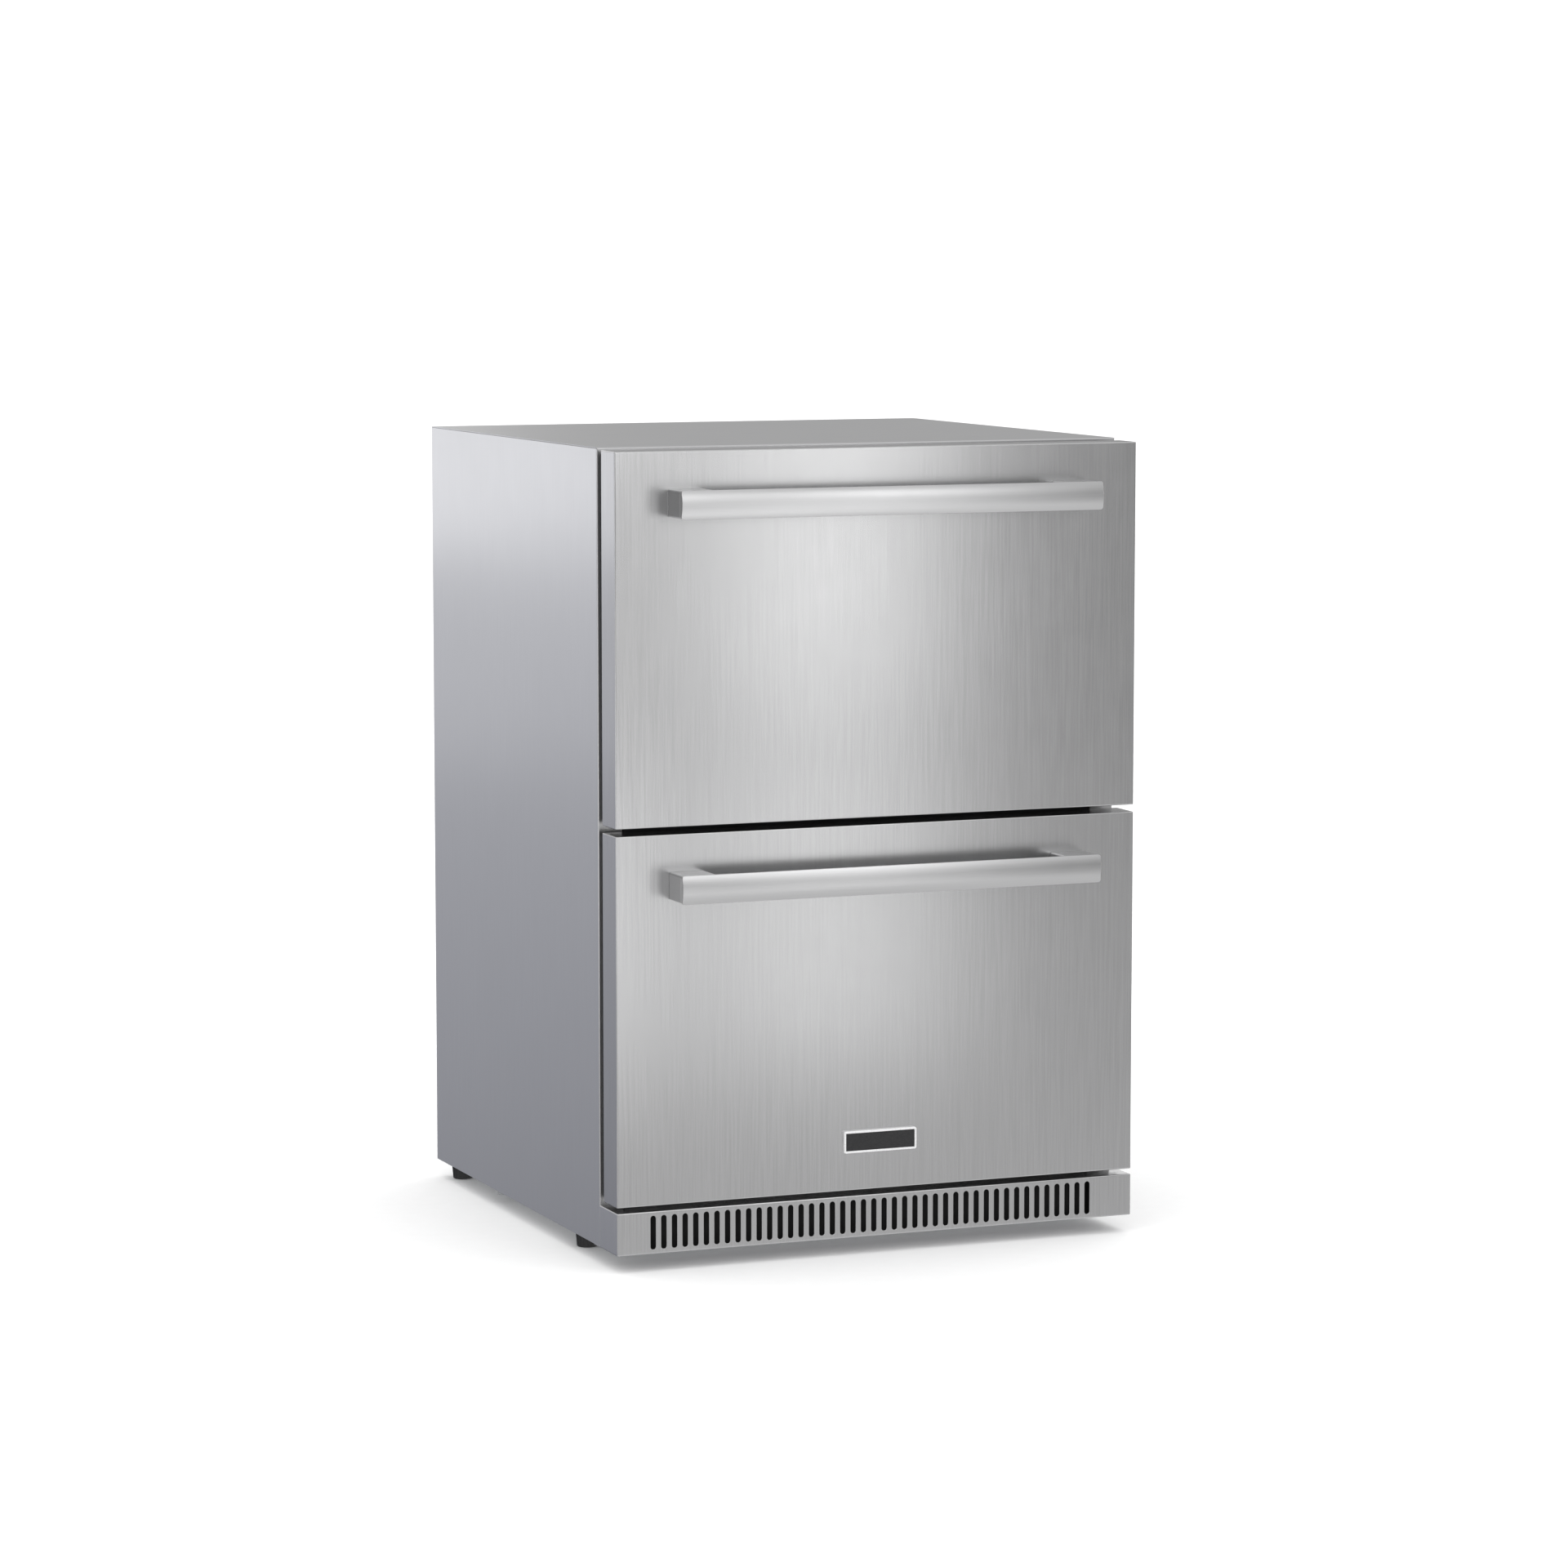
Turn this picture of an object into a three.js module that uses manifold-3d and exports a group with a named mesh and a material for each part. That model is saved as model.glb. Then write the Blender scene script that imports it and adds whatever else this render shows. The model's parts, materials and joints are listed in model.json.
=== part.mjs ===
// Undercounter refrigerator with two drawers.
// Millimetres, +Z up, front towards -Y, origin at the centre of the footprint on the floor.
import * as THREE from "three";
import { mergeVertices } from "three/addons/utils/BufferGeometryUtils.js";
import Module from "manifold-3d";

const wasm = await Module();
wasm.setup();

// Driving dimensions: the outside
const WIDTH = 597;
const HEIGHT = 864;
const FOOT_HEIGHT = 20;
const CABINET_DEPTH = 545;
const SEAL_GAP = 13; // between the cabinet's face and the back of a drawer front
const FRONT_THICKNESS = 40;
const HANDLE_REACH = 42.5; // from a drawer front's face to the crown of its handle
const FRONT_HEIGHT = 392;
const UPPER_FRONT_BOTTOM = 469.8;
const LOWER_FRONT_BOTTOM = 70.3;
const SHEET = 1;
const FLANGE = 26.7; // width of the steel flange round the cabinet's face
const REAR_FLANGE = 16;
const CLEAR = 0.3; // between two pieces that touch

// Driving dimensions: the toe grille
const GRILLE_BOTTOM = 19.2;
const GRILLE_TOP = 64.5;
const GRILLE_WALL = 0.8;
const GRILLE_FOOT = 0.5; // thickness of its foot flange
const GRILLE_RETURN = 18; // how far its foot flange reaches under the cabinet
const SLOT_COUNT = 43;
const SLOT_PITCH = 12;
const SLOT_WIDTH = 6;
const SLOT_HEIGHT = 36;
const SLOT_SHIFT = -6; // the row of slots sits off centre

// Driving dimensions: handles, badge and feet
const HANDLE_LENGTH = 480;
const HANDLE_HEIGHT = 30;
const HANDLE_DROP = 54.2; // from a front's top edge to its handle's centre
const HANDLE_CROWN = 2.3;
const HANDLE_EDGE = 2.7; // thickness of the bar at its edges
const HANDLE_CORNER = 2.6;
const POST_WIDTH = 40;
const POST_INSET = 0.8;
const BADGE_WIDTH = 84;
const BADGE_HEIGHT = 23.5;
const BADGE_DEPTH = 4;
const BADGE_RISE = 52.7; // from the lower front's bottom edge to the badge's centre
const BADGE_RIM = 2.3;
const FOOT_INSET = 23;
const FOOT_FROM_FACE = 101;
const FOOT_FROM_BACK = 26;

// Driving dimensions: the inside
const LINER_HALF_WIDTH = 256.5;
const LINER_WALL = 2;
const LINER_BOTTOM = 96;
const LINER_TOP = 822;
const LINER_BACK = 270;
const STEP_Y = 60; // the liner's floor steps up behind this to clear the machinery
const STEP_Z = 270;
const MULLION_HEIGHT = 45;
const MULLION_DEPTH = 34;
const GASKET_INSET = 4;
const GASKET_WIDTH = 14;
const SLIDE_LENGTH = 430;
const BIN_HALF_WIDTH = 243;
const BIN_WALL = 1.2;
const BIN_FLOOR_CLEARANCE = 12;

// Levels along Y and X worked out from those
const Y_BACK = (CABINET_DEPTH + SEAL_GAP + FRONT_THICKNESS + HANDLE_REACH) / 2;
const Y_FACE = Y_BACK - CABINET_DEPTH;
const Y_FRONT_BACK = Y_FACE - SEAL_GAP;
const Y_SKIN = Y_FRONT_BACK - FRONT_THICKNESS;
const Y_CROWN = Y_SKIN - HANDLE_REACH;
const X_SIDE = WIDTH / 2;
const MULLION_Z = (UPPER_FRONT_BOTTOM + LOWER_FRONT_BOTTOM + FRONT_HEIGHT) / 2;
const COMPARTMENT_TOP = STEP_Z - LINER_WALL - 32;
const COMPARTMENT_Y = STEP_Y + LINER_WALL + 34;

// Materials
const finish = (color, roughness, metalness) =>
  new THREE.MeshStandardMaterial({ color, roughness, metalness });
const STAINLESS = finish(0xb9babc, 0.35, 1);
const STAINLESS_DARK = finish(0x8f9092, 0.4, 1);
const GALVANISED = finish(0x9a9da0, 0.5, 0.9);
const ZINC = finish(0xa9adb0, 0.35, 1);
const LINER_WHITE = finish(0xe6e8e8, 0.4, 0);
const FOAM = finish(0xe3d9a8, 0.95, 0);
const BLACK_PLASTIC = finish(0x141414, 0.5, 0);
const GREY_PLASTIC = finish(0x8b8d8f, 0.5, 0);
const GASKET_RUBBER = finish(0x2c2d2f, 0.7, 0);
const BLACK_PAINT = finish(0x1a1a1b, 0.4, 0.2);
const COIL_ALUMINIUM = finish(0xc4c6c8, 0.4, 1);
const LIGHT_PLASTIC = finish(0xf4f6f8, 0.3, 0);
const BADGE_METAL = finish(0xd8d9da, 0.3, 1);

// Turning three.js geometry into solids for joining and cutting, and back
function solidOf(geometry) {
  const bare = geometry.clone();
  bare.deleteAttribute("normal");
  bare.deleteAttribute("uv");
  const merged = mergeVertices(bare, 1e-4);
  const mesh = new wasm.Mesh({
    numProp: 3,
    vertProperties: new Float32Array(merged.attributes.position.array),
    triVerts: new Uint32Array(merged.index.array),
  });
  return new wasm.Manifold(mesh);
}

function geometryOf(solid) {
  const mesh = solid.getMesh();
  const geometry = new THREE.BufferGeometry();
  geometry.setAttribute("position", new THREE.BufferAttribute(new Float32Array(mesh.vertProperties), 3));
  geometry.setIndex(new THREE.BufferAttribute(new Uint32Array(mesh.triVerts), 1));
  geometry.computeVertexNormals();
  return geometry;
}

const join = (...solids) => solids.reduce((whole, piece) => whole.add(piece));
const cut = (whole, ...tools) => whole.subtract(join(...tools));

// Shapes: each range is [low, high]
function block(x, y, z) {
  const geometry = new THREE.BoxGeometry(x[1] - x[0], y[1] - y[0], z[1] - z[0]);
  geometry.translate((x[0] + x[1]) / 2, (y[0] + y[1]) / 2, (z[0] + z[1]) / 2);
  return solidOf(geometry);
}

function extruded(shape, length, across, up, along, start, curveSegments) {
  const geometry = new THREE.ExtrudeGeometry(shape, { depth: length, bevelEnabled: false, curveSegments });
  geometry.applyMatrix4(new THREE.Matrix4().makeBasis(across, up, along));
  geometry.translate(start.x, start.y, start.z);
  return solidOf(geometry);
}

const AXIS_X = new THREE.Vector3(1, 0, 0);
const AXIS_Y = new THREE.Vector3(0, 1, 0);
const AXIS_Z = new THREE.Vector3(0, 0, 1);
const TOWARDS_FRONT = new THREE.Vector3(0, -1, 0);

// A shape drawn in (x, z) that runs between two levels of y
function alongY(shape, y, curveSegments = 4) {
  const start = new THREE.Vector3(0, y[1], 0);
  return extruded(shape, y[1] - y[0], AXIS_X, AXIS_Z, TOWARDS_FRONT, start, curveSegments);
}

// A shape drawn in (y, z) that runs between two levels of x
function alongX(shape, x, curveSegments = 4) {
  const start = new THREE.Vector3(x[0], 0, 0);
  return extruded(shape, x[1] - x[0], AXIS_Y, AXIS_Z, AXIS_X, start, curveSegments);
}

// A shape drawn in (x, y) that runs between two levels of z
function alongZ(shape, z, curveSegments = 4) {
  const start = new THREE.Vector3(0, 0, z[0]);
  return extruded(shape, z[1] - z[0], AXIS_X, AXIS_Y, AXIS_Z, start, curveSegments);
}

function polygon(points) {
  return new THREE.Shape(points.map(([a, b]) => new THREE.Vector2(a, b)));
}

function roundedRectangle(centre, width, height, radius) {
  const [left, right] = [centre[0] - width / 2, centre[0] + width / 2];
  const [low, high] = [centre[1] - height / 2, centre[1] + height / 2];
  const shape = new THREE.Shape();
  shape.moveTo(left + radius, low);
  shape.lineTo(right - radius, low);
  shape.absarc(right - radius, low + radius, radius, -Math.PI / 2, 0, false);
  shape.lineTo(right, high - radius);
  shape.absarc(right - radius, high - radius, radius, 0, Math.PI / 2, false);
  shape.lineTo(left + radius, high);
  shape.absarc(left + radius, high - radius, radius, Math.PI / 2, Math.PI, false);
  shape.lineTo(left, low + radius);
  shape.absarc(left + radius, low + radius, radius, Math.PI, 1.5 * Math.PI, false);
  return shape;
}

function disc(centre, radius) {
  const shape = new THREE.Shape();
  shape.absarc(centre[0], centre[1], radius, 0, 2 * Math.PI, false);
  return shape;
}

// A turned piece: profile points are (radius, height), the axis is upright
function turned(profile, centre, sides) {
  const points = profile.map(([radius, height]) => new THREE.Vector2(radius, height));
  const geometry = new THREE.LatheGeometry(points, sides);
  geometry.rotateX(Math.PI / 2);
  geometry.translate(centre[0], centre[1], centre[2]);
  return solidOf(geometry);
}

const refrigerator = new THREE.Group();

function part(name, solid, material) {
  const mesh = new THREE.Mesh(geometryOf(solid), material);
  mesh.name = name;
  refrigerator.add(mesh);
}

const SIDES = [
  ["left", -1],
  ["right", 1],
];
const range = (side, near, far) => (side < 0 ? [-far, -near] : [near, far]);

// Cabinet shell
function sidePanel(side) {
  const top = HEIGHT - SHEET - CLEAR;
  const inner = X_SIDE - FLANGE;
  const yRear = Y_BACK - SHEET - CLEAR;
  const sheet = block(range(side, X_SIDE - SHEET, X_SIDE), [Y_FACE, yRear], [FOOT_HEIGHT, top]);
  const mitred = polygon([
    [side * X_SIDE, FOOT_HEIGHT],
    [side * inner, FOOT_HEIGHT],
    [side * inner, HEIGHT - FLANGE - 2 * CLEAR],
    [side * X_SIDE, top],
  ]);
  const frontFlange = alongY(mitred, [Y_FACE, Y_FACE + SHEET]);
  const flangeX = range(side, X_SIDE - REAR_FLANGE, X_SIDE);
  const rearFlange = block(flangeX, [yRear - SHEET, yRear], [FOOT_HEIGHT, top]);
  return join(sheet, frontFlange, rearFlange);
}

function topPanel() {
  const sheet = block([-X_SIDE, X_SIDE], [Y_FACE, Y_BACK], [HEIGHT - SHEET, HEIGHT]);
  const inner = X_SIDE - FLANGE;
  const mitred = polygon([
    [-X_SIDE, HEIGHT],
    [-inner, HEIGHT - FLANGE],
    [inner, HEIGHT - FLANGE],
    [X_SIDE, HEIGHT],
  ]);
  return join(sheet, alongY(mitred, [Y_FACE, Y_FACE + SHEET]));
}

// The back is two sheets, which meet at a seam just above the machine compartment
const BACK_X = X_SIDE - 0.5;
const BACK_Y = [Y_BACK - SHEET, Y_BACK];
const COVER_TOP = COMPARTMENT_TOP + 22;
const COVER_SEAM = 1;

function backPanel() {
  return block([-BACK_X, BACK_X], BACK_Y, [COVER_TOP + COVER_SEAM, HEIGHT - SHEET - CLEAR]);
}

const GROMMET = { x: -235, z: 60, radius: 9, bore: 4.2, depth: 4 };
const LOUVRES = { columns: [-175, 0, 175], rows: 9, pitch: 15, bottom: 96, width: 150, height: 6 };

function rearCover() {
  const y = BACK_Y;
  const plate = block([-BACK_X, BACK_X], y, [FOOT_HEIGHT + 1, COVER_TOP]);
  const slots = [];
  for (const x of LOUVRES.columns) {
    const slotX = [x - LOUVRES.width / 2, x + LOUVRES.width / 2];
    for (let row = 0; row < LOUVRES.rows; row += 1) {
      const z = LOUVRES.bottom + row * LOUVRES.pitch;
      slots.push(block(slotX, [y[0] - 1, y[1] + 1], [z, z + LOUVRES.height]));
    }
  }
  const cordHole = alongY(disc([GROMMET.x, GROMMET.z], GROMMET.radius + CLEAR), [y[0] - 1, y[1] + 1], 10);
  return cut(plate, ...slots, cordHole);
}

const BASE_LIP = 18;

function basePan() {
  const x = X_SIDE - SHEET - CLEAR;
  const lipTop = FOOT_HEIGHT + BASE_LIP;
  const section = polygon([
    [-x, FOOT_HEIGHT],
    [x, FOOT_HEIGHT],
    [x, lipTop],
    [x - SHEET, lipTop],
    [x - SHEET, FOOT_HEIGHT + SHEET],
    [-x + SHEET, FOOT_HEIGHT + SHEET],
    [-x + SHEET, lipTop],
    [-x, lipTop],
  ]);
  const pan = alongY(section, [Y_FACE + SHEET + CLEAR, Y_BACK - 2 * SHEET - 2 * CLEAR]);
  const holes = FOOT_PLACES.map(([, footX, footY]) =>
    alongZ(disc([footX, footY], FOOT_STUD + 2 * CLEAR), [FOOT_HEIGHT - 1, FOOT_HEIGHT + 3], 8),
  );
  return cut(pan, ...holes);
}

const RAIL_BOTTOM = GRILLE_TOP + 2;
const RAIL_DEPTH = 24;

function bottomRail() {
  const x = X_SIDE - FLANGE - CLEAR;
  const face = block([-x, x], [Y_FACE, Y_FACE + SHEET], [RAIL_BOTTOM, LINER_BOTTOM - LINER_WALL - 2]);
  const foot = block([-x, x], [Y_FACE, Y_FACE + RAIL_DEPTH], [RAIL_BOTTOM, RAIL_BOTTOM + SHEET]);
  return join(face, foot);
}

// The wall stops short of the base, so that air from the grille passes under it
const WALL_BOTTOM = FOOT_HEIGHT + SHEET + 46;
const WALL_BACK = Y_BACK - 4;

function compartmentWall() {
  const x = X_SIDE - SHEET - 2 * CLEAR;
  const section = polygon([
    [COMPARTMENT_Y, WALL_BOTTOM],
    [COMPARTMENT_Y + SHEET, WALL_BOTTOM],
    [COMPARTMENT_Y + SHEET, COMPARTMENT_TOP - SHEET],
    [WALL_BACK, COMPARTMENT_TOP - SHEET],
    [WALL_BACK, COMPARTMENT_TOP],
    [COMPARTMENT_Y, COMPARTMENT_TOP],
  ]);
  return alongX(section, [-x, x]);
}

// The liner's side outline in (y, z), grown by an amount, with its floor stepping up at the back
function linerOutline(front, grow) {
  return polygon([
    [front, LINER_BOTTOM - grow],
    [STEP_Y + grow, LINER_BOTTOM - grow],
    [STEP_Y + grow, STEP_Z - grow],
    [LINER_BACK + grow, STEP_Z - grow],
    [LINER_BACK + grow, LINER_TOP + grow],
    [front, LINER_TOP + grow],
  ]);
}

function innerLiner() {
  const shellX = LINER_HALF_WIDTH + LINER_WALL;
  const shell = alongX(linerOutline(Y_FACE, LINER_WALL), [-shellX, shellX]);
  const lipX = X_SIDE - FLANGE - CLEAR;
  const lipLow = LINER_BOTTOM - LINER_WALL - 2 + CLEAR;
  const lipHigh = HEIGHT - FLANGE - SHEET;
  const lip = block([-lipX, lipX], [Y_FACE, Y_FACE + LINER_WALL], [lipLow, lipHigh]);
  const cavity = alongX(linerOutline(Y_FACE - 1, 0), [-LINER_HALF_WIDTH, LINER_HALF_WIDTH]);
  const mullionZ = [MULLION_Z - MULLION_HEIGHT / 2 - CLEAR, MULLION_Z + MULLION_HEIGHT / 2 + CLEAR];
  const notch = block([-X_SIDE, X_SIDE], [Y_FACE - 1, Y_FACE + LINER_WALL + CLEAR], mullionZ);
  return cut(join(shell, lip), cavity, notch);
}

function insulation() {
  const x = X_SIDE - SHEET - CLEAR;
  const y = [Y_FACE + LINER_WALL + CLEAR, Y_BACK - 3 * SHEET];
  const whole = block([-x, x], y, [RAIL_BOTTOM + SHEET + CLEAR, HEIGHT - SHEET - CLEAR]);
  const hollowX = LINER_HALF_WIDTH + LINER_WALL + CLEAR;
  const hollow = alongX(linerOutline(Y_FACE - 1, LINER_WALL + CLEAR), [-hollowX, hollowX]);
  const recess = [COMPARTMENT_Y - CLEAR, Y_BACK];
  const compartment = block([-X_SIDE, X_SIDE], recess, [0, COMPARTMENT_TOP + CLEAR]);
  return cut(whole, hollow, compartment);
}

function mullion() {
  const lipX = X_SIDE - FLANGE - 2 * CLEAR;
  const barX = LINER_HALF_WIDTH - CLEAR;
  const z = [MULLION_Z - MULLION_HEIGHT / 2, MULLION_Z + MULLION_HEIGHT / 2];
  const cover = block([-lipX, lipX], [Y_FACE, Y_FACE + LINER_WALL], z);
  const bar = block([-barX, barX], [Y_FACE, Y_FACE + MULLION_DEPTH], z);
  return join(cover, bar);
}

function toeGrille() {
  const y = [Y_SKIN, Y_FACE - CLEAR];
  const z = [GRILLE_BOTTOM, GRILLE_TOP];
  const wall = GRILLE_WALL;
  const footTop = z[0] + GRILLE_FOOT;
  const outer = block([-X_SIDE, X_SIDE], y, z);
  const hollow = block([-X_SIDE + wall, X_SIDE - wall], [y[0] + wall, y[1] + 1], [footTop, z[1] - wall]);
  const footFlange = block([-X_SIDE, X_SIDE], [y[0], Y_FACE + GRILLE_RETURN], [z[0], footTop]);
  const slots = [];
  const slotZ = (GRILLE_BOTTOM + GRILLE_TOP) / 2;
  for (let i = 0; i < SLOT_COUNT; i += 1) {
    const x = SLOT_SHIFT + (i - (SLOT_COUNT - 1) / 2) * SLOT_PITCH;
    const outline = roundedRectangle([x, slotZ], SLOT_WIDTH, SLOT_HEIGHT, SLOT_WIDTH / 2 - 0.01);
    slots.push(alongY(outline, [y[0] - 1, y[0] + wall + 1], 2));
  }
  return cut(join(cut(outer, hollow), footFlange), ...slots);
}

function cabinetShell() {
  for (const [word, side] of SIDES) {
    part(`${word}_side_panel`, sidePanel(side), STAINLESS);
  }
  part("top_panel", topPanel(), STAINLESS);
  part("back_panel", backPanel(), GALVANISED);
  part("rear_cover", rearCover(), GALVANISED);
  part("base_pan", basePan(), GALVANISED);
  part("compartment_wall", compartmentWall(), GALVANISED);
  part("bottom_rail", bottomRail(), STAINLESS);
  part("inner_liner", innerLiner(), LINER_WHITE);
  part("insulation", insulation(), FOAM);
  part("mullion", mullion(), BLACK_PLASTIC);
  part("toe_grille", toeGrille(), STAINLESS);
  const grommetY = [Y_BACK - GROMMET.depth, Y_BACK - 0.05];
  const centre = [GROMMET.x, GROMMET.z];
  const grommetBody = alongY(disc(centre, GROMMET.radius), grommetY, 10);
  const cordBore = alongY(disc(centre, GROMMET.bore), [grommetY[0] - 1, grommetY[1] + 1], 8);
  part("cord_grommet", cut(grommetBody, cordBore), BLACK_PLASTIC);
}

// Levelling feet, on studs that screw up through the base pan
const FOOT_STUD = 5;
const FOOT_STUD_REACH = 26;
const FOOT_TOP_RADIUS = 13.3;
const FOOT_BOTTOM_RADIUS = 11.6;
const FOOT_PLACES = [
  ["front_left", -(X_SIDE - FOOT_INSET), Y_FACE + FOOT_FROM_FACE],
  ["front_right", X_SIDE - FOOT_INSET, Y_FACE + FOOT_FROM_FACE],
  ["rear_left", -(X_SIDE - FOOT_INSET), Y_BACK - FOOT_FROM_BACK],
  ["rear_right", X_SIDE - FOOT_INSET, Y_BACK - FOOT_FROM_BACK],
];

function levellingFeet() {
  const profile = [
    [0, 0],
    [FOOT_BOTTOM_RADIUS - 0.8, 0],
    [FOOT_BOTTOM_RADIUS, 0.8],
    [FOOT_TOP_RADIUS, FOOT_HEIGHT - CLEAR],
    [FOOT_STUD, FOOT_HEIGHT - CLEAR],
    [FOOT_STUD, FOOT_HEIGHT + FOOT_STUD_REACH],
    [0, FOOT_HEIGHT + FOOT_STUD_REACH],
  ];
  for (const [word, x, y] of FOOT_PLACES) {
    part(`foot_${word}`, turned(profile, [x, y, 0], 20), BLACK_PLASTIC);
  }
}

// Drain spout: a short open tube that hangs under the left side
const SPOUT = { x: -(X_SIDE - 20), y: Y_FACE + 366, bottom: 9, radius: 8, bore: 5.5, collar: 11 };

function drainSpout() {
  const centre = [SPOUT.x, SPOUT.y];
  const z = [SPOUT.bottom, FOOT_HEIGHT - CLEAR];
  const pipe = alongZ(disc(centre, SPOUT.radius), z, 8);
  const collar = alongZ(disc(centre, SPOUT.collar), [z[1] - 2, z[1]], 8);
  const bore = alongZ(disc(centre, SPOUT.bore), [z[0] - 1, z[1] - 3], 6);
  part("drain_spout", cut(join(pipe, collar), bore), GREY_PLASTIC);
}

// Machine compartment
const COMPRESSOR = { x: -140, y: 205, radius: 72, top: 178 };
const MOUNT_PLATE = { halfX: 90, halfY: 60, thickness: 4 };
const MOUNT = { x: 78, y: 48, radius: 11, height: 14 };
const TERMINAL_BOX = { width: 28, gap: 4, halfDepth: 30, z: [48, 110] };
const DRAIN_TRAY = { halfX: 95, halfY: 92, gap: 4, height: 30, wall: 2 };
const CONDENSER = { x: 125, z: 128, halfWidth: 120, halfHeight: 92, y: [106, 138] };
const CONDENSER_FAN = { y: 168, radius: 78, hub: 20, hubHalf: 9, motorY: [15, 62], motorRadius: 28 };
const SHROUD_DEPTH = 44;
const STANDOFF = { offset: 8, halfWidth: 3, reach: 14, overhang: 11 };
const FLOOR = FOOT_HEIGHT + SHEET;

function compressor() {
  const { x, y, radius, top } = COMPRESSOR;
  const low = FLOOR + MOUNT.height;
  const middle = (low + top) / 2;
  const profile = [
    [0, low],
    [radius * 0.55, low + 6],
    [radius * 0.9, low + 26],
    [radius, middle - 8],
    [radius + 3, middle - 4],
    [radius + 3, middle + 4],
    [radius, middle + 8],
    [radius * 0.94, top - 34],
    [radius * 0.7, top - 12],
    [radius * 0.35, top - 2],
    [0, top],
  ];
  const shell = turned(profile, [x, y, 0], 24);
  const { halfX, halfY, thickness } = MOUNT_PLATE;
  const plate = block([x - halfX, x + halfX], [y - halfY, y + halfY], [low, low + thickness]);
  const feet = [];
  for (const sideX of [-1, 1]) {
    for (const sideY of [-1, 1]) {
      const foot = disc([x + sideX * MOUNT.x, y + sideY * MOUNT.y], MOUNT.radius);
      feet.push(alongZ(foot, [FLOOR + CLEAR, low + 1], 5));
    }
  }
  return join(shell, plate, ...feet);
}

function terminalCover() {
  const { x, y, radius } = COMPRESSOR;
  const { width, gap, halfDepth, z } = TERMINAL_BOX;
  const near = x - radius - gap;
  return block([near - width, near], [y - halfDepth, y + halfDepth], [FLOOR + z[0], FLOOR + z[1]]);
}

function drainPan() {
  const { x, y, top } = COMPRESSOR;
  const { halfX, halfY, gap, height, wall } = DRAIN_TRAY;
  const z = [top + gap, top + gap + height];
  const tray = block([x - halfX, x + halfX], [y - halfY, y + halfY], z);
  const insideX = halfX - wall;
  const insideY = halfY - wall;
  const inside = block([x - insideX, x + insideX], [y - insideY, y + insideY], [z[0] + wall, z[1] + 1]);
  return cut(tray, inside);
}

function condenserCoil() {
  const { x, z, halfWidth, halfHeight, y } = CONDENSER;
  const core = block([x - halfWidth, x + halfWidth], y, [z - halfHeight, z + halfHeight]);
  const ROWS = 6;
  const rowPitch = (2 * halfHeight) / ROWS;
  const bends = [];
  for (let row = 0; row < ROWS; row += 1) {
    const rowZ = z - halfHeight + (row + 0.5) * rowPitch;
    for (const side of [-1, 1]) {
      const edge = x + side * halfWidth;
      const curve = new THREE.CatmullRomCurve3([
        new THREE.Vector3(edge - side * 2, y[0] + 9, rowZ),
        new THREE.Vector3(edge + side * 5, y[0] + 9, rowZ),
        new THREE.Vector3(edge + side * 9, (y[0] + y[1]) / 2, rowZ),
        new THREE.Vector3(edge + side * 5, y[1] - 9, rowZ),
        new THREE.Vector3(edge - side * 2, y[1] - 9, rowZ),
      ]);
      bends.push(tube(curve, 3.5, 6, 6));
    }
  }
  return join(core, ...bends);
}

function tube(curve, radius, sides, steps) {
  const section = new THREE.Shape();
  for (let i = 0; i < sides; i += 1) {
    const angle = (i / sides) * 2 * Math.PI;
    const point = [radius * Math.cos(angle), radius * Math.sin(angle)];
    if (i === 0) section.moveTo(...point);
    else section.lineTo(...point);
  }
  const geometry = new THREE.ExtrudeGeometry(section, { steps, bevelEnabled: false, extrudePath: curve });
  return solidOf(geometry);
}

function fanShroud() {
  const { x, z, halfWidth, halfHeight, y } = CONDENSER;
  const shroudY = [y[1] + CLEAR, y[1] + SHROUD_DEPTH];
  const frame = block([x - halfWidth, x + halfWidth], shroudY, [z - halfHeight, z + halfHeight]);
  const wall = 2;
  const inside = [shroudY[0] - 1, shroudY[1] - wall];
  const plenum = block(
    [x - halfWidth + wall, x + halfWidth - wall],
    inside,
    [z - halfHeight + wall, z + halfHeight - wall],
  );
  const mouth = alongY(disc([x, z], CONDENSER_FAN.radius + 6), [shroudY[0], shroudY[1] + 1], 12);
  return cut(frame, plenum, mouth);
}

const BLADE_PITCH = Math.PI / 6;

// A fan rotor: pitched blades on a hub, turning about an axis along Y
function fanRotor(x, z, y, radius, hub, blades) {
  const middle = (y[0] + y[1]) / 2;
  const rotor = [alongY(disc([x, z], hub), y, 6)];
  const chord = radius * 0.62;
  for (let i = 0; i < blades; i += 1) {
    const blade = new THREE.BoxGeometry(radius - hub + 3, 1.6, chord);
    blade.translate((radius + hub - 3) / 2, 0, 0);
    blade.rotateX(BLADE_PITCH);
    blade.rotateY((i / blades) * 2 * Math.PI);
    blade.translate(x, middle, z);
    rotor.push(solidOf(blade));
  }
  const swept = alongY(disc([x, z], radius), [middle - radius, middle + radius], 12);
  return join(...rotor).intersect(swept);
}

// A fan motor: a can with arms that reach the frame around it
function fanMotor(x, z, y, radius, reach, armY) {
  const can = alongY(disc([x, z], radius), y, 6);
  const across = block([x - reach, x + reach], armY, [z - 4, z + 4]);
  const upright = block([x - 4, x + 4], armY, [z - reach, z + reach]);
  return join(can, across, upright);
}

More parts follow.
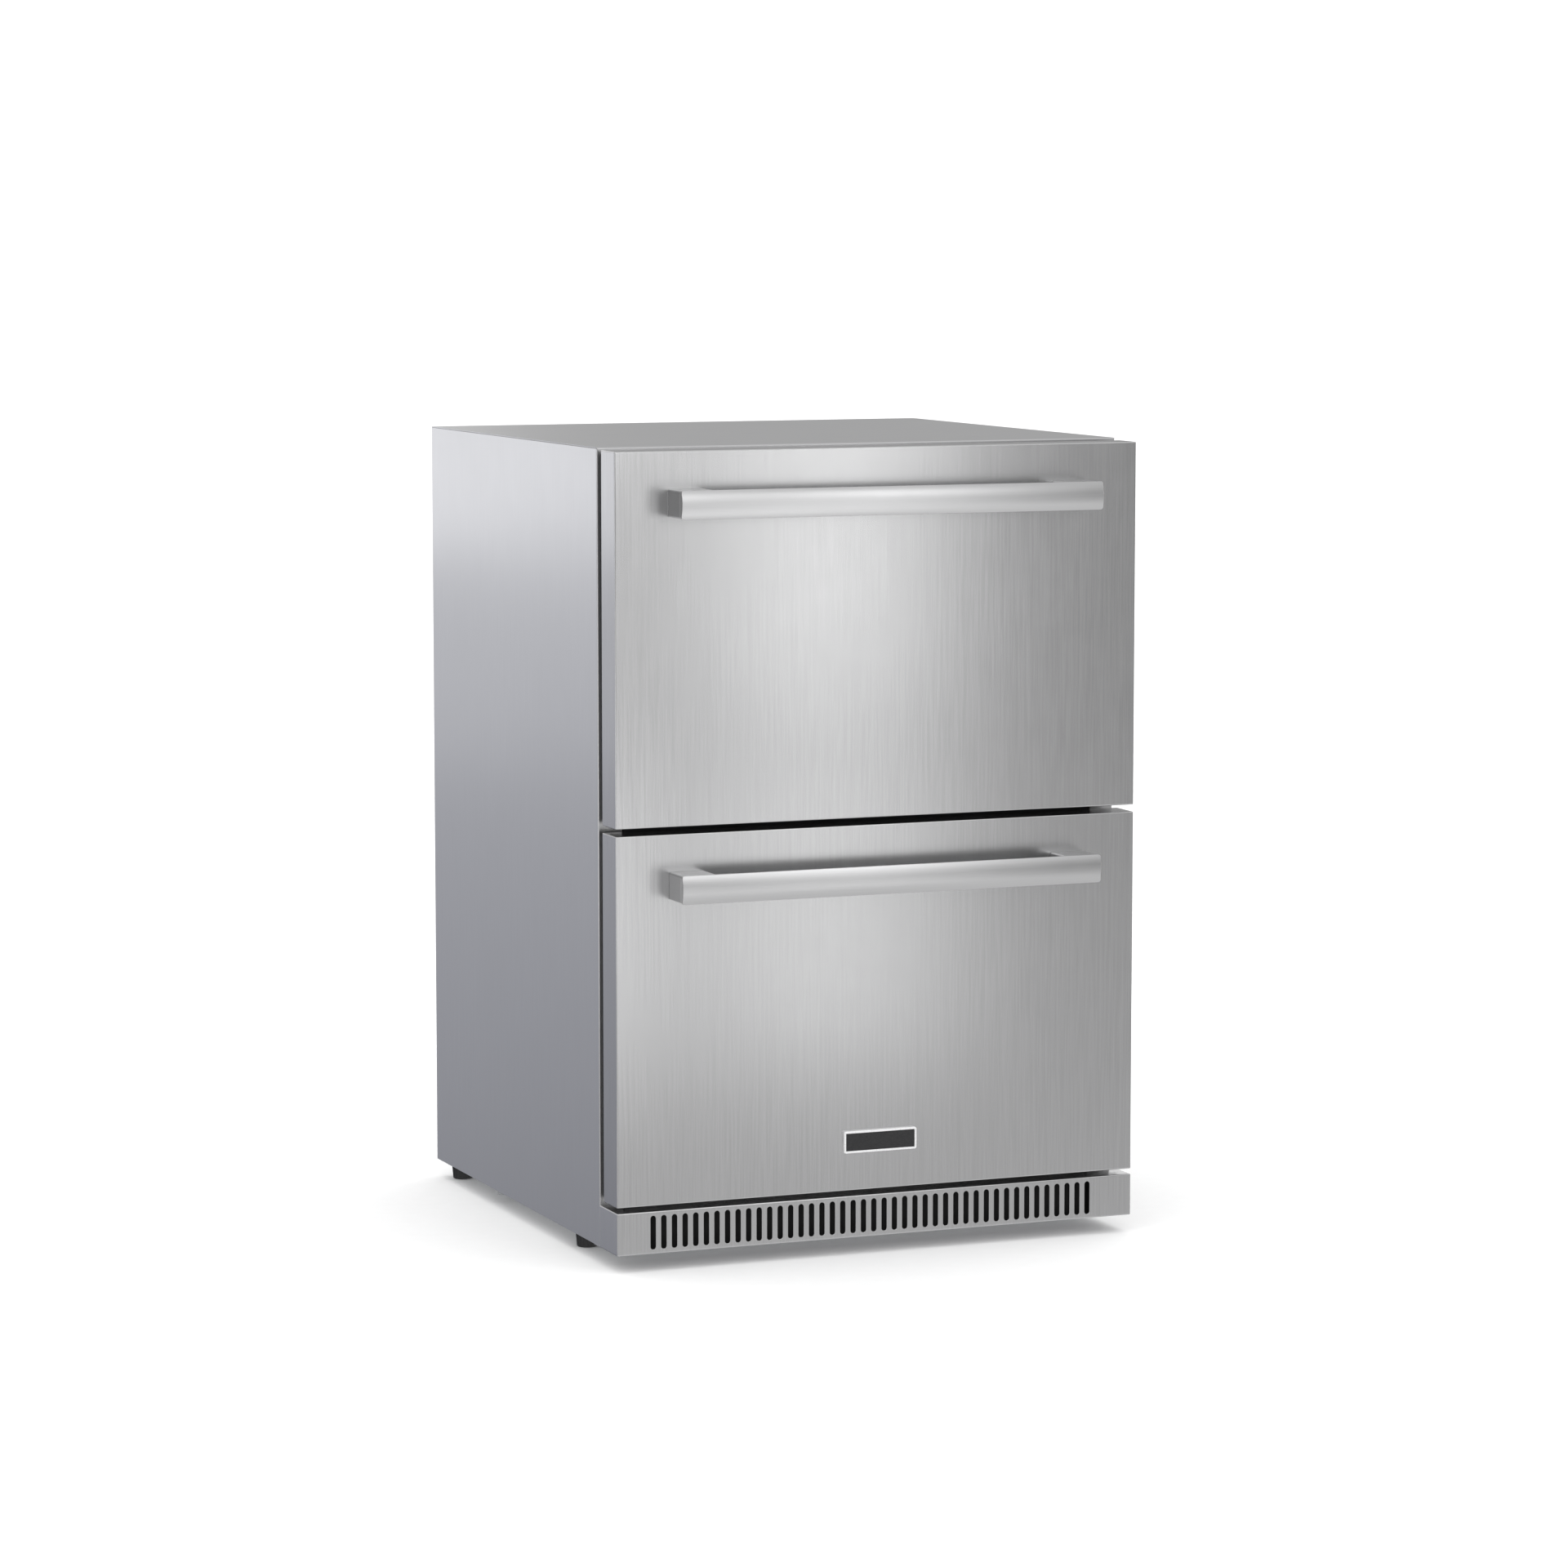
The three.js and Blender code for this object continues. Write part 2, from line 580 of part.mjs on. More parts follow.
// The condenser's fan motor, whose arms stand off the back of the shroud
function condenserFanMotor() {
  const { x, z } = CONDENSER;
  const { y, radius, motorY, motorRadius } = CONDENSER_FAN;
  const shroudBack = CONDENSER.y[1] + SHROUD_DEPTH + CLEAR;
  const armY = [shroudBack + STANDOFF.reach, shroudBack + STANDOFF.reach + 2];
  const canY = [y + motorY[0], y + motorY[1]];
  const motor = fanMotor(x, z, canY, motorRadius, radius + STANDOFF.overhang, armY);
  const standoffs = [-1, 1].map((side) => {
    const centre = x + side * (radius + STANDOFF.offset);
    const half = STANDOFF.halfWidth;
    return block([centre - half, centre + half], [shroudBack, armY[1]], [z - 4, z + 4]);
  });
  return join(motor, ...standoffs);
}

function machineCompartment() {
  part("compressor", compressor(), BLACK_PAINT);
  part("terminal_cover", terminalCover(), BLACK_PLASTIC);
  part("drain_pan", drainPan(), BLACK_PLASTIC);
  part("condenser_coil", condenserCoil(), COIL_ALUMINIUM);
  part("fan_shroud", fanShroud(), BLACK_PLASTIC);
  const { x, z } = CONDENSER;
  const { y, radius, hub, hubHalf } = CONDENSER_FAN;
  part("condenser_fan", fanRotor(x, z, [y - hubHalf, y + hubHalf], radius, hub, 5), BLACK_PLASTIC);
  part("condenser_fan_motor", condenserFanMotor(), GALVANISED);
}

// Cold side, on the liner's back wall and ceiling
const EVAPORATOR = { halfWidth: 215, z: [520, 800], y: [222, LINER_BACK - CLEAR] };
const EVAPORATOR_FAN = { x: 125, z: 665, radius: 44, hub: 14, y: [228.5, 241.5], motorY: [243, 262] };
const FAN_GUARD = { halfWidth: 36, bottom: EVAPORATOR_FAN.z - 34, pitch: 19, height: 11, count: 4 };
const RETURN_SLOTS = { left: -180, pitch: 28, width: 14, z: [22, 40], count: 8 };

function evaporatorCover() {
  const { halfWidth, z, y } = EVAPORATOR;
  const wall = 2;
  const shell = block([-halfWidth, halfWidth], y, z);
  const insideX = halfWidth - wall;
  const inside = block([-insideX, insideX], [y[0] + wall, y[1] + 1], [z[0] + wall, z[1] - wall]);
  const through = [y[0] - 1, y[0] + wall + 1];
  const holes = [];
  const guardX = [EVAPORATOR_FAN.x - FAN_GUARD.halfWidth, EVAPORATOR_FAN.x + FAN_GUARD.halfWidth];
  for (let i = 0; i < FAN_GUARD.count; i += 1) {
    const bottom = FAN_GUARD.bottom + i * FAN_GUARD.pitch;
    holes.push(block(guardX, through, [bottom, bottom + FAN_GUARD.height]));
  }
  const slotZ = [z[0] + RETURN_SLOTS.z[0], z[0] + RETURN_SLOTS.z[1]];
  for (let i = 0; i < RETURN_SLOTS.count; i += 1) {
    const x = RETURN_SLOTS.left + i * RETURN_SLOTS.pitch;
    holes.push(block([x, x + RETURN_SLOTS.width], through, slotZ));
  }
  return cut(shell, inside, ...holes);
}

const EVAPORATOR_COIL = { x: [-200, 55], fins: 14, finWidth: 2 };

function evaporatorCoil() {
  const y = [EVAPORATOR.y[0] + 10, EVAPORATOR.y[1] - 8];
  const z = [EVAPORATOR.z[0] + 50, EVAPORATOR.z[1] - 14];
  const { x, fins: count, finWidth } = EVAPORATOR_COIL;
  const pitch = (x[1] - x[0] - finWidth) / (count - 1);
  const fins = [];
  for (let i = 0; i < count; i += 1) {
    const near = x[0] + i * pitch;
    fins.push(block([near, near + finWidth], y, z));
  }
  const tubes = [0.2, 0.4, 0.6, 0.8].map((share) => {
    const tubeZ = z[0] + share * (z[1] - z[0]);
    const tubeY = (y[0] + y[1]) / 2;
    return block([x[0] - 5, x[1] + 5], [tubeY - 4, tubeY + 4], [tubeZ - 4, tubeZ + 4]);
  });
  return join(...fins, ...tubes);
}

const CONTROL_PANEL = { y: [Y_FACE + 8, Y_FACE + 70], height: 20, brow: 8, chamfer: 8, halfWidth: 105 };
const LIGHT = { y: Y_FACE + 100, width: 260, depth: 34, height: 10 };

function coldSide() {
  part("evaporator_cover", evaporatorCover(), LINER_WHITE);
  part("evaporator_coil", evaporatorCoil(), COIL_ALUMINIUM);
  const fan = EVAPORATOR_FAN;
  part("evaporator_fan", fanRotor(fan.x, fan.z, fan.y, fan.radius, fan.hub, 5), BLACK_PLASTIC);
  part("evaporator_fan_motor", fanMotor(fan.x, fan.z, fan.motorY, 17, 50, [258, 262]), GALVANISED);
  const ceiling = LINER_TOP - CLEAR;
  const { y, height, brow, chamfer, halfWidth } = CONTROL_PANEL;
  const housing = polygon([
    [y[0], ceiling],
    [y[0], ceiling - brow],
    [y[0] + chamfer, ceiling - height],
    [y[1], ceiling - height],
    [y[1], ceiling],
  ]);
  part("control_panel", alongX(housing, [-halfWidth, halfWidth]), BLACK_PLASTIC);
  const light = roundedRectangle([0, LIGHT.y], LIGHT.width, LIGHT.depth, 6);
  part("light_cover", alongZ(light, [ceiling - LIGHT.height, ceiling], 3), LIGHT_PLASTIC);
}

// Telescopic slides. Each is a cabinet member, a middle member and a drawer member that nest.
const SLIDE_WALL = 1.2;
const SLIDE_Y = [Y_FACE + 12, Y_FACE + 12 + SLIDE_LENGTH];
const CABINET_MEMBER = { outer: LINER_HALF_WIDTH - CLEAR, lip: 246.4, half: 22.5, returned: 3 };
const MIDDLE_MEMBER = { outer: 253.9, lip: 248, half: 20.2, returned: 3 };
const DRAWER_MEMBER = { outer: BIN_HALF_WIDTH + CLEAR, lip: 251, half: 14.6, returned: 0 };

// A channel in (x, z): its web stands at outer, its lips run to lip and turn back by returned
function channel(side, member, z) {
  const { outer, lip, half, returned } = member;
  const inward = Math.sign(lip - outer);
  const web = outer + inward * SLIDE_WALL;
  const inner = half - SLIDE_WALL;
  const end = half - SLIDE_WALL - returned;
  const points = [
    [outer, -half],
    [lip, -half],
    [lip, -end],
    [lip - inward * SLIDE_WALL, -end],
    [lip - inward * SLIDE_WALL, -inner],
    [web, -inner],
    [web, inner],
    [lip - inward * SLIDE_WALL, inner],
    [lip - inward * SLIDE_WALL, end],
    [lip, end],
    [lip, half],
    [outer, half],
  ];
  const plain = [
    [outer, -half],
    [lip, -half],
    [lip, -inner],
    [web, -inner],
    [web, inner],
    [lip, inner],
    [lip, half],
    [outer, half],
  ];
  const outline = returned > 0 ? points : plain;
  return polygon(outline.map(([x, dz]) => [side * x, z + dz]));
}

function slides(level, z) {
  for (const [word, side] of SIDES) {
    part(`${level}_slide_cabinet_${word}`, alongY(channel(side, CABINET_MEMBER, z), SLIDE_Y), ZINC);
    part(`${level}_slide_middle_${word}`, alongY(channel(side, MIDDLE_MEMBER, z), SLIDE_Y), ZINC);
    const drawerY = [Y_FRONT_BACK + CLEAR, SLIDE_Y[1]];
    part(`${level}_slide_drawer_${word}`, alongY(channel(side, DRAWER_MEMBER, z), drawerY), ZINC);
  }
}

// Drawers
const LEVELS = {
  upper: {
    bottom: UPPER_FRONT_BOTTOM,
    binZ: [MULLION_Z + MULLION_HEIGHT / 2 + BIN_FLOOR_CLEARANCE, 730],
    binBack: 205,
    slideZ: 690,
  },
  lower: {
    bottom: LOWER_FRONT_BOTTOM,
    binZ: [LINER_BOTTOM + BIN_FLOOR_CLEARANCE, 390],
    binBack: STEP_Y - 14,
    slideZ: 350,
  },
};

function frontSkin(bottom) {
  const top = bottom + FRONT_HEIGHT;
  const outer = block([-X_SIDE, X_SIDE], [Y_SKIN, Y_FRONT_BACK], [bottom, top]);
  const hollowX = X_SIDE - SHEET;
  const hollowY = [Y_SKIN + SHEET, Y_FRONT_BACK + 1];
  const hollow = block([-hollowX, hollowX], hollowY, [bottom + SHEET, top - SHEET]);
  return cut(outer, hollow);
}

function innerPanel(bottom) {
  const margin = SHEET + CLEAR;
  const x = X_SIDE - margin;
  const y = [Y_SKIN + margin, Y_FRONT_BACK - 0.2];
  return block([-x, x], y, [bottom + margin, bottom + FRONT_HEIGHT - margin]);
}

function gasket(bottom) {
  const z = [bottom + GASKET_INSET, bottom + FRONT_HEIGHT - GASKET_INSET];
  const x = X_SIDE - GASKET_INSET;
  const y = [Y_FRONT_BACK + CLEAR, Y_FACE - CLEAR];
  const ring = block([-x, x], y, z);
  const w = GASKET_WIDTH;
  return cut(ring, block([-x + w, x - w], [y[0] - 1, y[1] + 1], [z[0] + w, z[1] - w]));
}

const BIN_RIM = { width: 6, height: 1.5 };

function bin(level) {
  const { binZ, binBack } = level;
  const y = [Y_FRONT_BACK + CLEAR, binBack];
  const x = BIN_HALF_WIDTH;
  const tub = block([-x, x], y, binZ);
  const rimX = x + BIN_RIM.width;
  const rim = block([-rimX, rimX], y, [binZ[1] - BIN_RIM.height, binZ[1]]);
  const w = BIN_WALL;
  const inside = block([-x + w, x - w], [y[0] + w, y[1] - w], [binZ[0] + w, binZ[1] + 1]);
  return cut(join(tub, rim), inside);
}

function handleBar(z) {
  const half = HANDLE_HEIGHT / 2;
  const yEdge = Y_CROWN + HANDLE_CROWN;
  const yBack = yEdge + HANDLE_EDGE;
  const section = new THREE.Shape();
  section.moveTo(yBack, z - half);
  section.lineTo(yEdge, z - half);
  section.quadraticCurveTo(Y_CROWN - HANDLE_CROWN, z, yEdge, z + half);
  section.lineTo(yBack, z + half);
  const bar = alongX(section, [-HANDLE_LENGTH / 2, HANDLE_LENGTH / 2], 8);
  const outline = roundedRectangle([0, z], HANDLE_LENGTH, HANDLE_HEIGHT, HANDLE_CORNER);
  return bar.intersect(alongY(outline, [Y_CROWN - 1, yBack + 1], 3));
}

function handlePost(side, z) {
  const y = [Y_CROWN + HANDLE_CROWN + HANDLE_EDGE + CLEAR, Y_SKIN - CLEAR];
  const x = side * (HANDLE_LENGTH / 2 - POST_INSET - POST_WIDTH / 2);
  return alongY(roundedRectangle([x, z], POST_WIDTH, HANDLE_HEIGHT - 0.8, HANDLE_CORNER - 0.4), y, 2);
}

function drawer(word) {
  const level = LEVELS[word];
  const handleZ = level.bottom + FRONT_HEIGHT - HANDLE_DROP;
  part(`${word}_front_skin`, frontSkin(level.bottom), STAINLESS);
  part(`${word}_inner_panel`, innerPanel(level.bottom), LINER_WHITE);
  part(`${word}_gasket`, gasket(level.bottom), GASKET_RUBBER);
  part(`${word}_bin`, bin(level), STAINLESS);
  part(`${word}_handle_bar`, handleBar(handleZ), STAINLESS);
  for (const [sideWord, side] of SIDES) {
    part(`${word}_handle_post_${sideWord}`, handlePost(side, handleZ), STAINLESS_DARK);
  }
  slides(word, level.slideZ);
}

function badge() {
  const centre = [0, LOWER_FRONT_BOTTOM + BADGE_RISE];
  const y = [Y_SKIN - BADGE_DEPTH, Y_SKIN - CLEAR];
  const body = alongY(roundedRectangle(centre, BADGE_WIDTH, BADGE_HEIGHT, 2), y, 3);
  const fieldWidth = BADGE_WIDTH - 2 * BADGE_RIM;
  const fieldHeight = BADGE_HEIGHT - 2 * BADGE_RIM;
  const recess = alongY(roundedRectangle(centre, fieldWidth, fieldHeight, 0.8), [y[0] - 1, y[0] + 2], 2);
  part("badge_frame", cut(body, recess), BADGE_METAL);
  const gap = 2 * CLEAR;
  const field = roundedRectangle(centre, fieldWidth - gap, fieldHeight - gap, 0.6);
  part("badge_field", alongY(field, [y[0] + 0.6, y[0] + 2 - CLEAR], 2), BLACK_PLASTIC);
}

cabinetShell();
levellingFeet();
drainSpout();
machineCompartment();
coldSide();
for (const word of Object.keys(LEVELS)) {
  drawer(word);
}
badge();

export default refrigerator;
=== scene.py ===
"""Looks of an undercounter refrigerator with two drawers, built around its CAD frame."""

import json
import math

import bmesh
import bpy
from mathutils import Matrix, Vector

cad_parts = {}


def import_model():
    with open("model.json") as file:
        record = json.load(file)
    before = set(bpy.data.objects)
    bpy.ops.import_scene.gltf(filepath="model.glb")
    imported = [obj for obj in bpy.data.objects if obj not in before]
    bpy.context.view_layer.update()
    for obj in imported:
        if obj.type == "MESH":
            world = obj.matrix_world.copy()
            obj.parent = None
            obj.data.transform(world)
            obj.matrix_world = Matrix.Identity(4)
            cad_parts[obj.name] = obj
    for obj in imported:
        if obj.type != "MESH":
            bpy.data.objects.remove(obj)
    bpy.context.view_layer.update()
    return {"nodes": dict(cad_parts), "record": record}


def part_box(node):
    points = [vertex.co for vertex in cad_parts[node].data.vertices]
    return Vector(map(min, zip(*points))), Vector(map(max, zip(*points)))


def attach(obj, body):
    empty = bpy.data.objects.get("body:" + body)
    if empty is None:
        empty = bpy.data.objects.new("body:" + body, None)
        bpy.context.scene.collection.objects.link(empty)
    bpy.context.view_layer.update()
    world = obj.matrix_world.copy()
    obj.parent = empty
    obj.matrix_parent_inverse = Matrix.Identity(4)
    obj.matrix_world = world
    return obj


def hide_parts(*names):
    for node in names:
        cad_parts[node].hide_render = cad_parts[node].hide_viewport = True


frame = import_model()
RECORD = frame["record"]
BODY_OF = {n: b for b, nodes in RECORD["behaviour"]["bodies"].items() for n in nodes}
SLOT_OF = {row["node"]: row["material_slot"] for row in RECORD["subparts"]}
MM = 0.001
SIDES = (("left", -1), ("right", 1))
LEVELS = ("upper", "lower")


# ---------------------------------------------------------------- materials


class Finish:
    """A procedural material: a Principled shader and the nodes that feed it."""

    def __init__(self, name, metallic=0.0, **sockets):
        self.material = bpy.data.materials.new(name)
        self.material.use_nodes = True
        self.tree = self.material.node_tree
        self.shader = self.tree.nodes["Principled BSDF"]
        self.shader.inputs["Metallic"].default_value = metallic
        for key, value in sockets.items():
            self.shader.inputs[key.replace("_", " ")].default_value = value
        self.place = self.tree.nodes.new("ShaderNodeTexCoord").outputs["Object"]

    def node(self, kind, links=None, **settings):
        made = self.tree.nodes.new(kind)
        for key, value in settings.items():
            if hasattr(made, key):
                setattr(made, key, value)
            else:
                made.inputs[key.replace("_", " ")].default_value = value
        for key, source in (links or {}).items():
            self.tree.links.new(source, made.inputs[key])
        return made

    def scaled(self, scale):
        """Object coordinates times scale, so a scale of 1000 has a period of about 1 mm."""
        made = self.node("ShaderNodeMapping", {"Vector": self.place})
        made.inputs["Scale"].default_value = scale if isinstance(scale, tuple) else (scale,) * 3
        return made.outputs["Vector"]

    def noise(self, scale, detail=2.0, roughness=0.5):
        made = self.node("ShaderNodeTexNoise", {"Vector": self.scaled(scale)}, Scale=1.0)
        made.inputs["Detail"].default_value = detail
        made.inputs["Roughness"].default_value = roughness
        return made.outputs["Fac"]

    def cells(self, scale, feature="F1", output="Distance"):
        made = self.node("ShaderNodeTexVoronoi", {"Vector": self.scaled(scale)}, feature=feature)
        made.inputs["Scale"].default_value = 1.0
        return made.outputs[output]

    def spread(self, value, low, high, start=0.25, end=0.75):
        """Maps value from start..end to low..high."""
        made = self.node("ShaderNodeMapRange", {"Value": value})
        for key, number in zip(("From Min", "From Max", "To Min", "To Max"), (start, end, low, high)):
            made.inputs[key].default_value = number
        return made.outputs["Result"]

    def math(self, operation, first, second):
        made = self.node("ShaderNodeMath", operation=operation)
        for socket, value in zip(made.inputs, (first, second)):
            if isinstance(value, (int, float)):
                socket.default_value = value
            else:
                self.tree.links.new(value, socket)
        return made.outputs["Value"]

    def plus(self, first, second):
        return self.math("ADD", first, second)

    def weighted(self, first, share, second, other):
        """The sum of two values, each times its weight."""
        return self.plus(self.math("MULTIPLY", first, share), self.math("MULTIPLY", second, other))

    def blend(self, factor, first, second):
        """A colour between two, by factor. Either may be a colour or a socket."""
        made = self.node("ShaderNodeMix", data_type="RGBA")
        self.tree.links.new(factor, made.inputs["Factor"])
        for socket, value in ((made.inputs[6], first), (made.inputs[7], second)):
            if isinstance(value, tuple):
                socket.default_value = (*value, 1.0)
            else:
                self.tree.links.new(value, socket)
        return made.outputs[2]

    def bump(self, height, millimetres, strength=1.0, under=None):
        links = {"Height": height}
        if under is not None:
            links["Normal"] = under
        made = self.node("ShaderNodeBump", links)
        made.inputs["Distance"].default_value = millimetres * MM
        made.inputs["Strength"].default_value = strength
        return made.outputs["Normal"]

    def grain(self, axis, amount):
        """Anisotropic gloss that spreads round an axis, as brushing across it does."""
        self.shader.inputs["Anisotropic"].default_value = amount
        made = self.node("ShaderNodeTangent", direction_type="RADIAL", axis=axis)
        self.tree.links.new(made.outputs["Tangent"], self.shader.inputs["Tangent"])

    def dressed(self, colour, rough, normal=None):
        """Wires up the finish, and gives its material."""
        for key, source in (("Base Color", colour), ("Roughness", rough), ("Normal", normal)):
            if source is not None:
                self.tree.links.new(source, self.shader.inputs[key])
        return self.material


def along(axis, length, across):
    """A noise scale for streaks along an axis, from their length and width in millimetres."""
    return tuple(1 / (length * MM) if a == axis else 1 / (across * MM) for a in "XYZ")


def shade(tone, share):
    return tuple(min(1.0, c * share) for c in tone)


def brushed(name, axis, tone, rough, contrast, round_axis, gloss_spread):
    """Brushed stainless: fine streaks along axis, over a hairline grain."""
    f = Finish(name, metallic=1.0)
    streaks = f.noise(along(axis, 70, 1.2), detail=1.0, roughness=0.4)
    hairline = f.noise(along(axis, 20, 0.25), detail=1.0, roughness=0.4)
    cloud = f.noise((7.0, 7.0, 5.0))
    smudge = f.noise((31.0, 31.0, 23.0), detail=4.0, roughness=0.6)
    both = f.weighted(streaks, 0.75, hairline, 0.25)
    grained = f.blend(f.spread(both, 0, 1, 0.36, 0.64), shade(tone, 1 - contrast), shade(tone, 1 + contrast))
    f.grain(round_axis, gloss_spread)
    return f.dressed(
        f.blend(f.spread(cloud, 0, 0.5, 0.35, 0.65), grained, shade(tone, 0.985)),
        f.plus(f.spread(both, rough - 0.01, rough + 0.01), f.spread(smudge, -0.006, 0.008, 0.35, 0.7)),
        f.bump(hairline, 0.002, 0.02),
    )


def galvanised(name, tone):
    """Zinc-coated sheet: small faint spangle crystals and a dull, slightly uneven gloss."""
    f = Finish(name, metallic=1.0)
    crystals = f.node("ShaderNodeSeparateColor", {"Color": f.cells(210.0, output="Color")}).outputs["Red"]
    fine = f.noise(900.0, detail=3.0)
    patch = f.noise(6.0, detail=3.0)
    mixed = f.weighted(crystals, 0.6, fine, 0.4)
    return f.dressed(
        f.blend(mixed, shade(tone, 0.93), shade(tone, 1.05)),
        f.plus(f.spread(mixed, 0.38, 0.45, 0.1, 0.9), f.spread(patch, -0.02, 0.03, 0.35, 0.65)),
        f.bump(fine, 0.01, 0.25),
    )


def plated(name, tone, rough):
    """Bright plating with drawing lines along Y and a few handling marks."""
    f = Finish(name, metallic=1.0)
    lines = f.noise(along("Y", 40, 0.6))
    marks = f.noise((140.0, 60.0, 140.0), detail=4.0, roughness=0.7)
    return f.dressed(
        f.blend(f.spread(marks, 0, 1), shade(tone, 0.93), tone),
        f.plus(f.spread(lines, rough - 0.04, rough + 0.06), f.spread(marks, -0.03, 0.05)),
        f.bump(lines, 0.02, 0.3),
    )


def moulded(name, tone, rough, grain_mm=0.45, depth=0.03):
    """Moulded plastic or rubber with a fine spark-eroded grain and light scuffing."""
    f = Finish(name)
    pebble = f.noise(1 / (grain_mm * MM))
    scuff = f.noise(38.0, detail=5.0, roughness=0.65)
    lighter = tuple(min(1.0, c * 1.12 + 0.004) for c in tone)
    return f.dressed(
        f.blend(f.spread(scuff, 0, 1, 0.4, 0.7), tone, lighter),
        f.plus(f.spread(pebble, rough - 0.04, rough + 0.04), f.spread(scuff, -0.04, 0.05)),
        f.bump(pebble, depth, 0.5),
    )


def lining(name, tone, rough):
    """Vacuum-formed or painted lining: slight orange peel under a soft gloss."""
    f = Finish(name, Coat_Weight=0.15, Coat_Roughness=0.25)
    peel = f.noise(520.0, detail=1.0)
    wave = f.noise(16.0)
    return f.dressed(
        f.blend(f.spread(wave, 0, 1), shade(tone, 0.975), tone),
        f.spread(peel, rough - 0.04, rough + 0.05),
        f.bump(wave, 0.12, 0.25, under=f.bump(peel, 0.03, 0.4)),
    )


def enamel(name, tone, dust_tone=(0.09, 0.088, 0.084)):
    """Baked enamel over pressed steel: fine peel, and dust in patches."""
    f = Finish(name, Coat_Weight=0.4, Coat_Roughness=0.18)
    peel = f.noise(700.0, detail=1.0)
    dust = f.noise(45.0, detail=5.0, roughness=0.7)
    return f.dressed(
        f.blend(f.spread(dust, 0, 0.35, 0.45, 0.75), tone, dust_tone),
        f.spread(dust, 0.3, 0.55, 0.4, 0.75),
        f.bump(peel, 0.03, 0.4),
    )


def foam(name, tone):
    """Rigid poured foam: small burst cells and a skin that yellows in patches."""
    f = Finish(name)
    cell = f.cells(650.0)
    patch = f.noise(14.0, detail=4.0)
    return f.dressed(
        f.blend(f.spread(patch, 0, 1), tone, shade(tone, 0.86)),
        f.spread(cell, 0.85, 0.98, 0, 1),
        f.bump(cell, 0.4, 0.8),
    )


def leathered(name, tone):
    """The badge's black field: a pebbled leather grain with polished high spots, and painted shade darkening
    its creases.
    """
    f = Finish(name)
    pebble = f.cells((1150.0, 1150.0, 900.0), feature="SMOOTH_F1")
    crease = f.cells((760.0, 760.0, 620.0), feature="DISTANCE_TO_EDGE")
    fine = f.noise(4200.0)
    high = f.weighted(crease, 1.4, pebble, -0.6)
    return f.dressed(
        # Darker towards the creases: painted shade in the creases
        f.blend(f.spread(crease, 0, 1, 0.0, 0.3), shade(tone, 0.45), tone),
        f.plus(f.spread(crease, 0.62, 0.4, 0.0, 0.35), f.spread(fine, -0.04, 0.04)),
        f.bump(high, 0.28, 0.9, under=f.bump(fine, 0.02, 0.3)),
    )


def satin(name, tone, rough):
    """Satin chrome plate: a soft sheen with faint polishing swirls."""
    f = Finish(name, metallic=0.5)
    swirl = f.noise((900.0, 900.0, 500.0), detail=3.0)
    return f.dressed(
        f.blend(f.spread(swirl, 0, 1), shade(tone, 0.96), tone),
        f.spread(swirl, rough - 0.04, rough + 0.05),
        f.bump(swirl, 0.01, 0.2),
    )


def frosted(name, tone, glow, strength):
    """Frosted diffuser over the compartment light, which is on."""
    f = Finish(name, IOR=1.46, Emission_Color=(*glow, 1.0), Emission_Strength=strength)
    frost = f.noise(1300.0)
    return f.dressed(
        f.blend(f.spread(frost, 0, 1), shade(tone, 0.97), tone),
        f.spread(frost, 0.35, 0.5),
        f.bump(frost, 0.03, 0.4),
    )


STEEL = (0.62, 0.62, 0.625)
# Each brushed finish: its name, the brushing's axis, tone, roughness, contrast, the axis that the
# gloss spreads round and how far it spreads
BRUSHED = {
    "stainless": ("stainless_upright", "Z", STEEL, 0.25, 0.035, "Z", 0.15),
    # The drawer fronts' left and right side faces: the same steel in a darker tone, which is painted shade on
    # those sides
    "edge": ("stainless_shaded_side", "Z", (0.5, 0.5, 0.505), 0.25, 0.04, "Z", 0.15),
    "side": ("stainless_side", "Z", STEEL, 0.3, 0.02, "Z", 0.1),
    "top": ("stainless_top", "X", STEEL, 0.36, 0.03, "X", 0.4),
    "bar": ("stainless_bar", "X", (0.58, 0.58, 0.585), 0.3, 0.02, "X", 0.2),
    "bin": ("stainless_bin", "X", (0.64, 0.64, 0.645), 0.36, 0.03, "X", 0.3),
    "handle_post": ("post_satin", "Y", (0.56, 0.56, 0.565), 0.38, 0.02, "Y", 0.2),
}
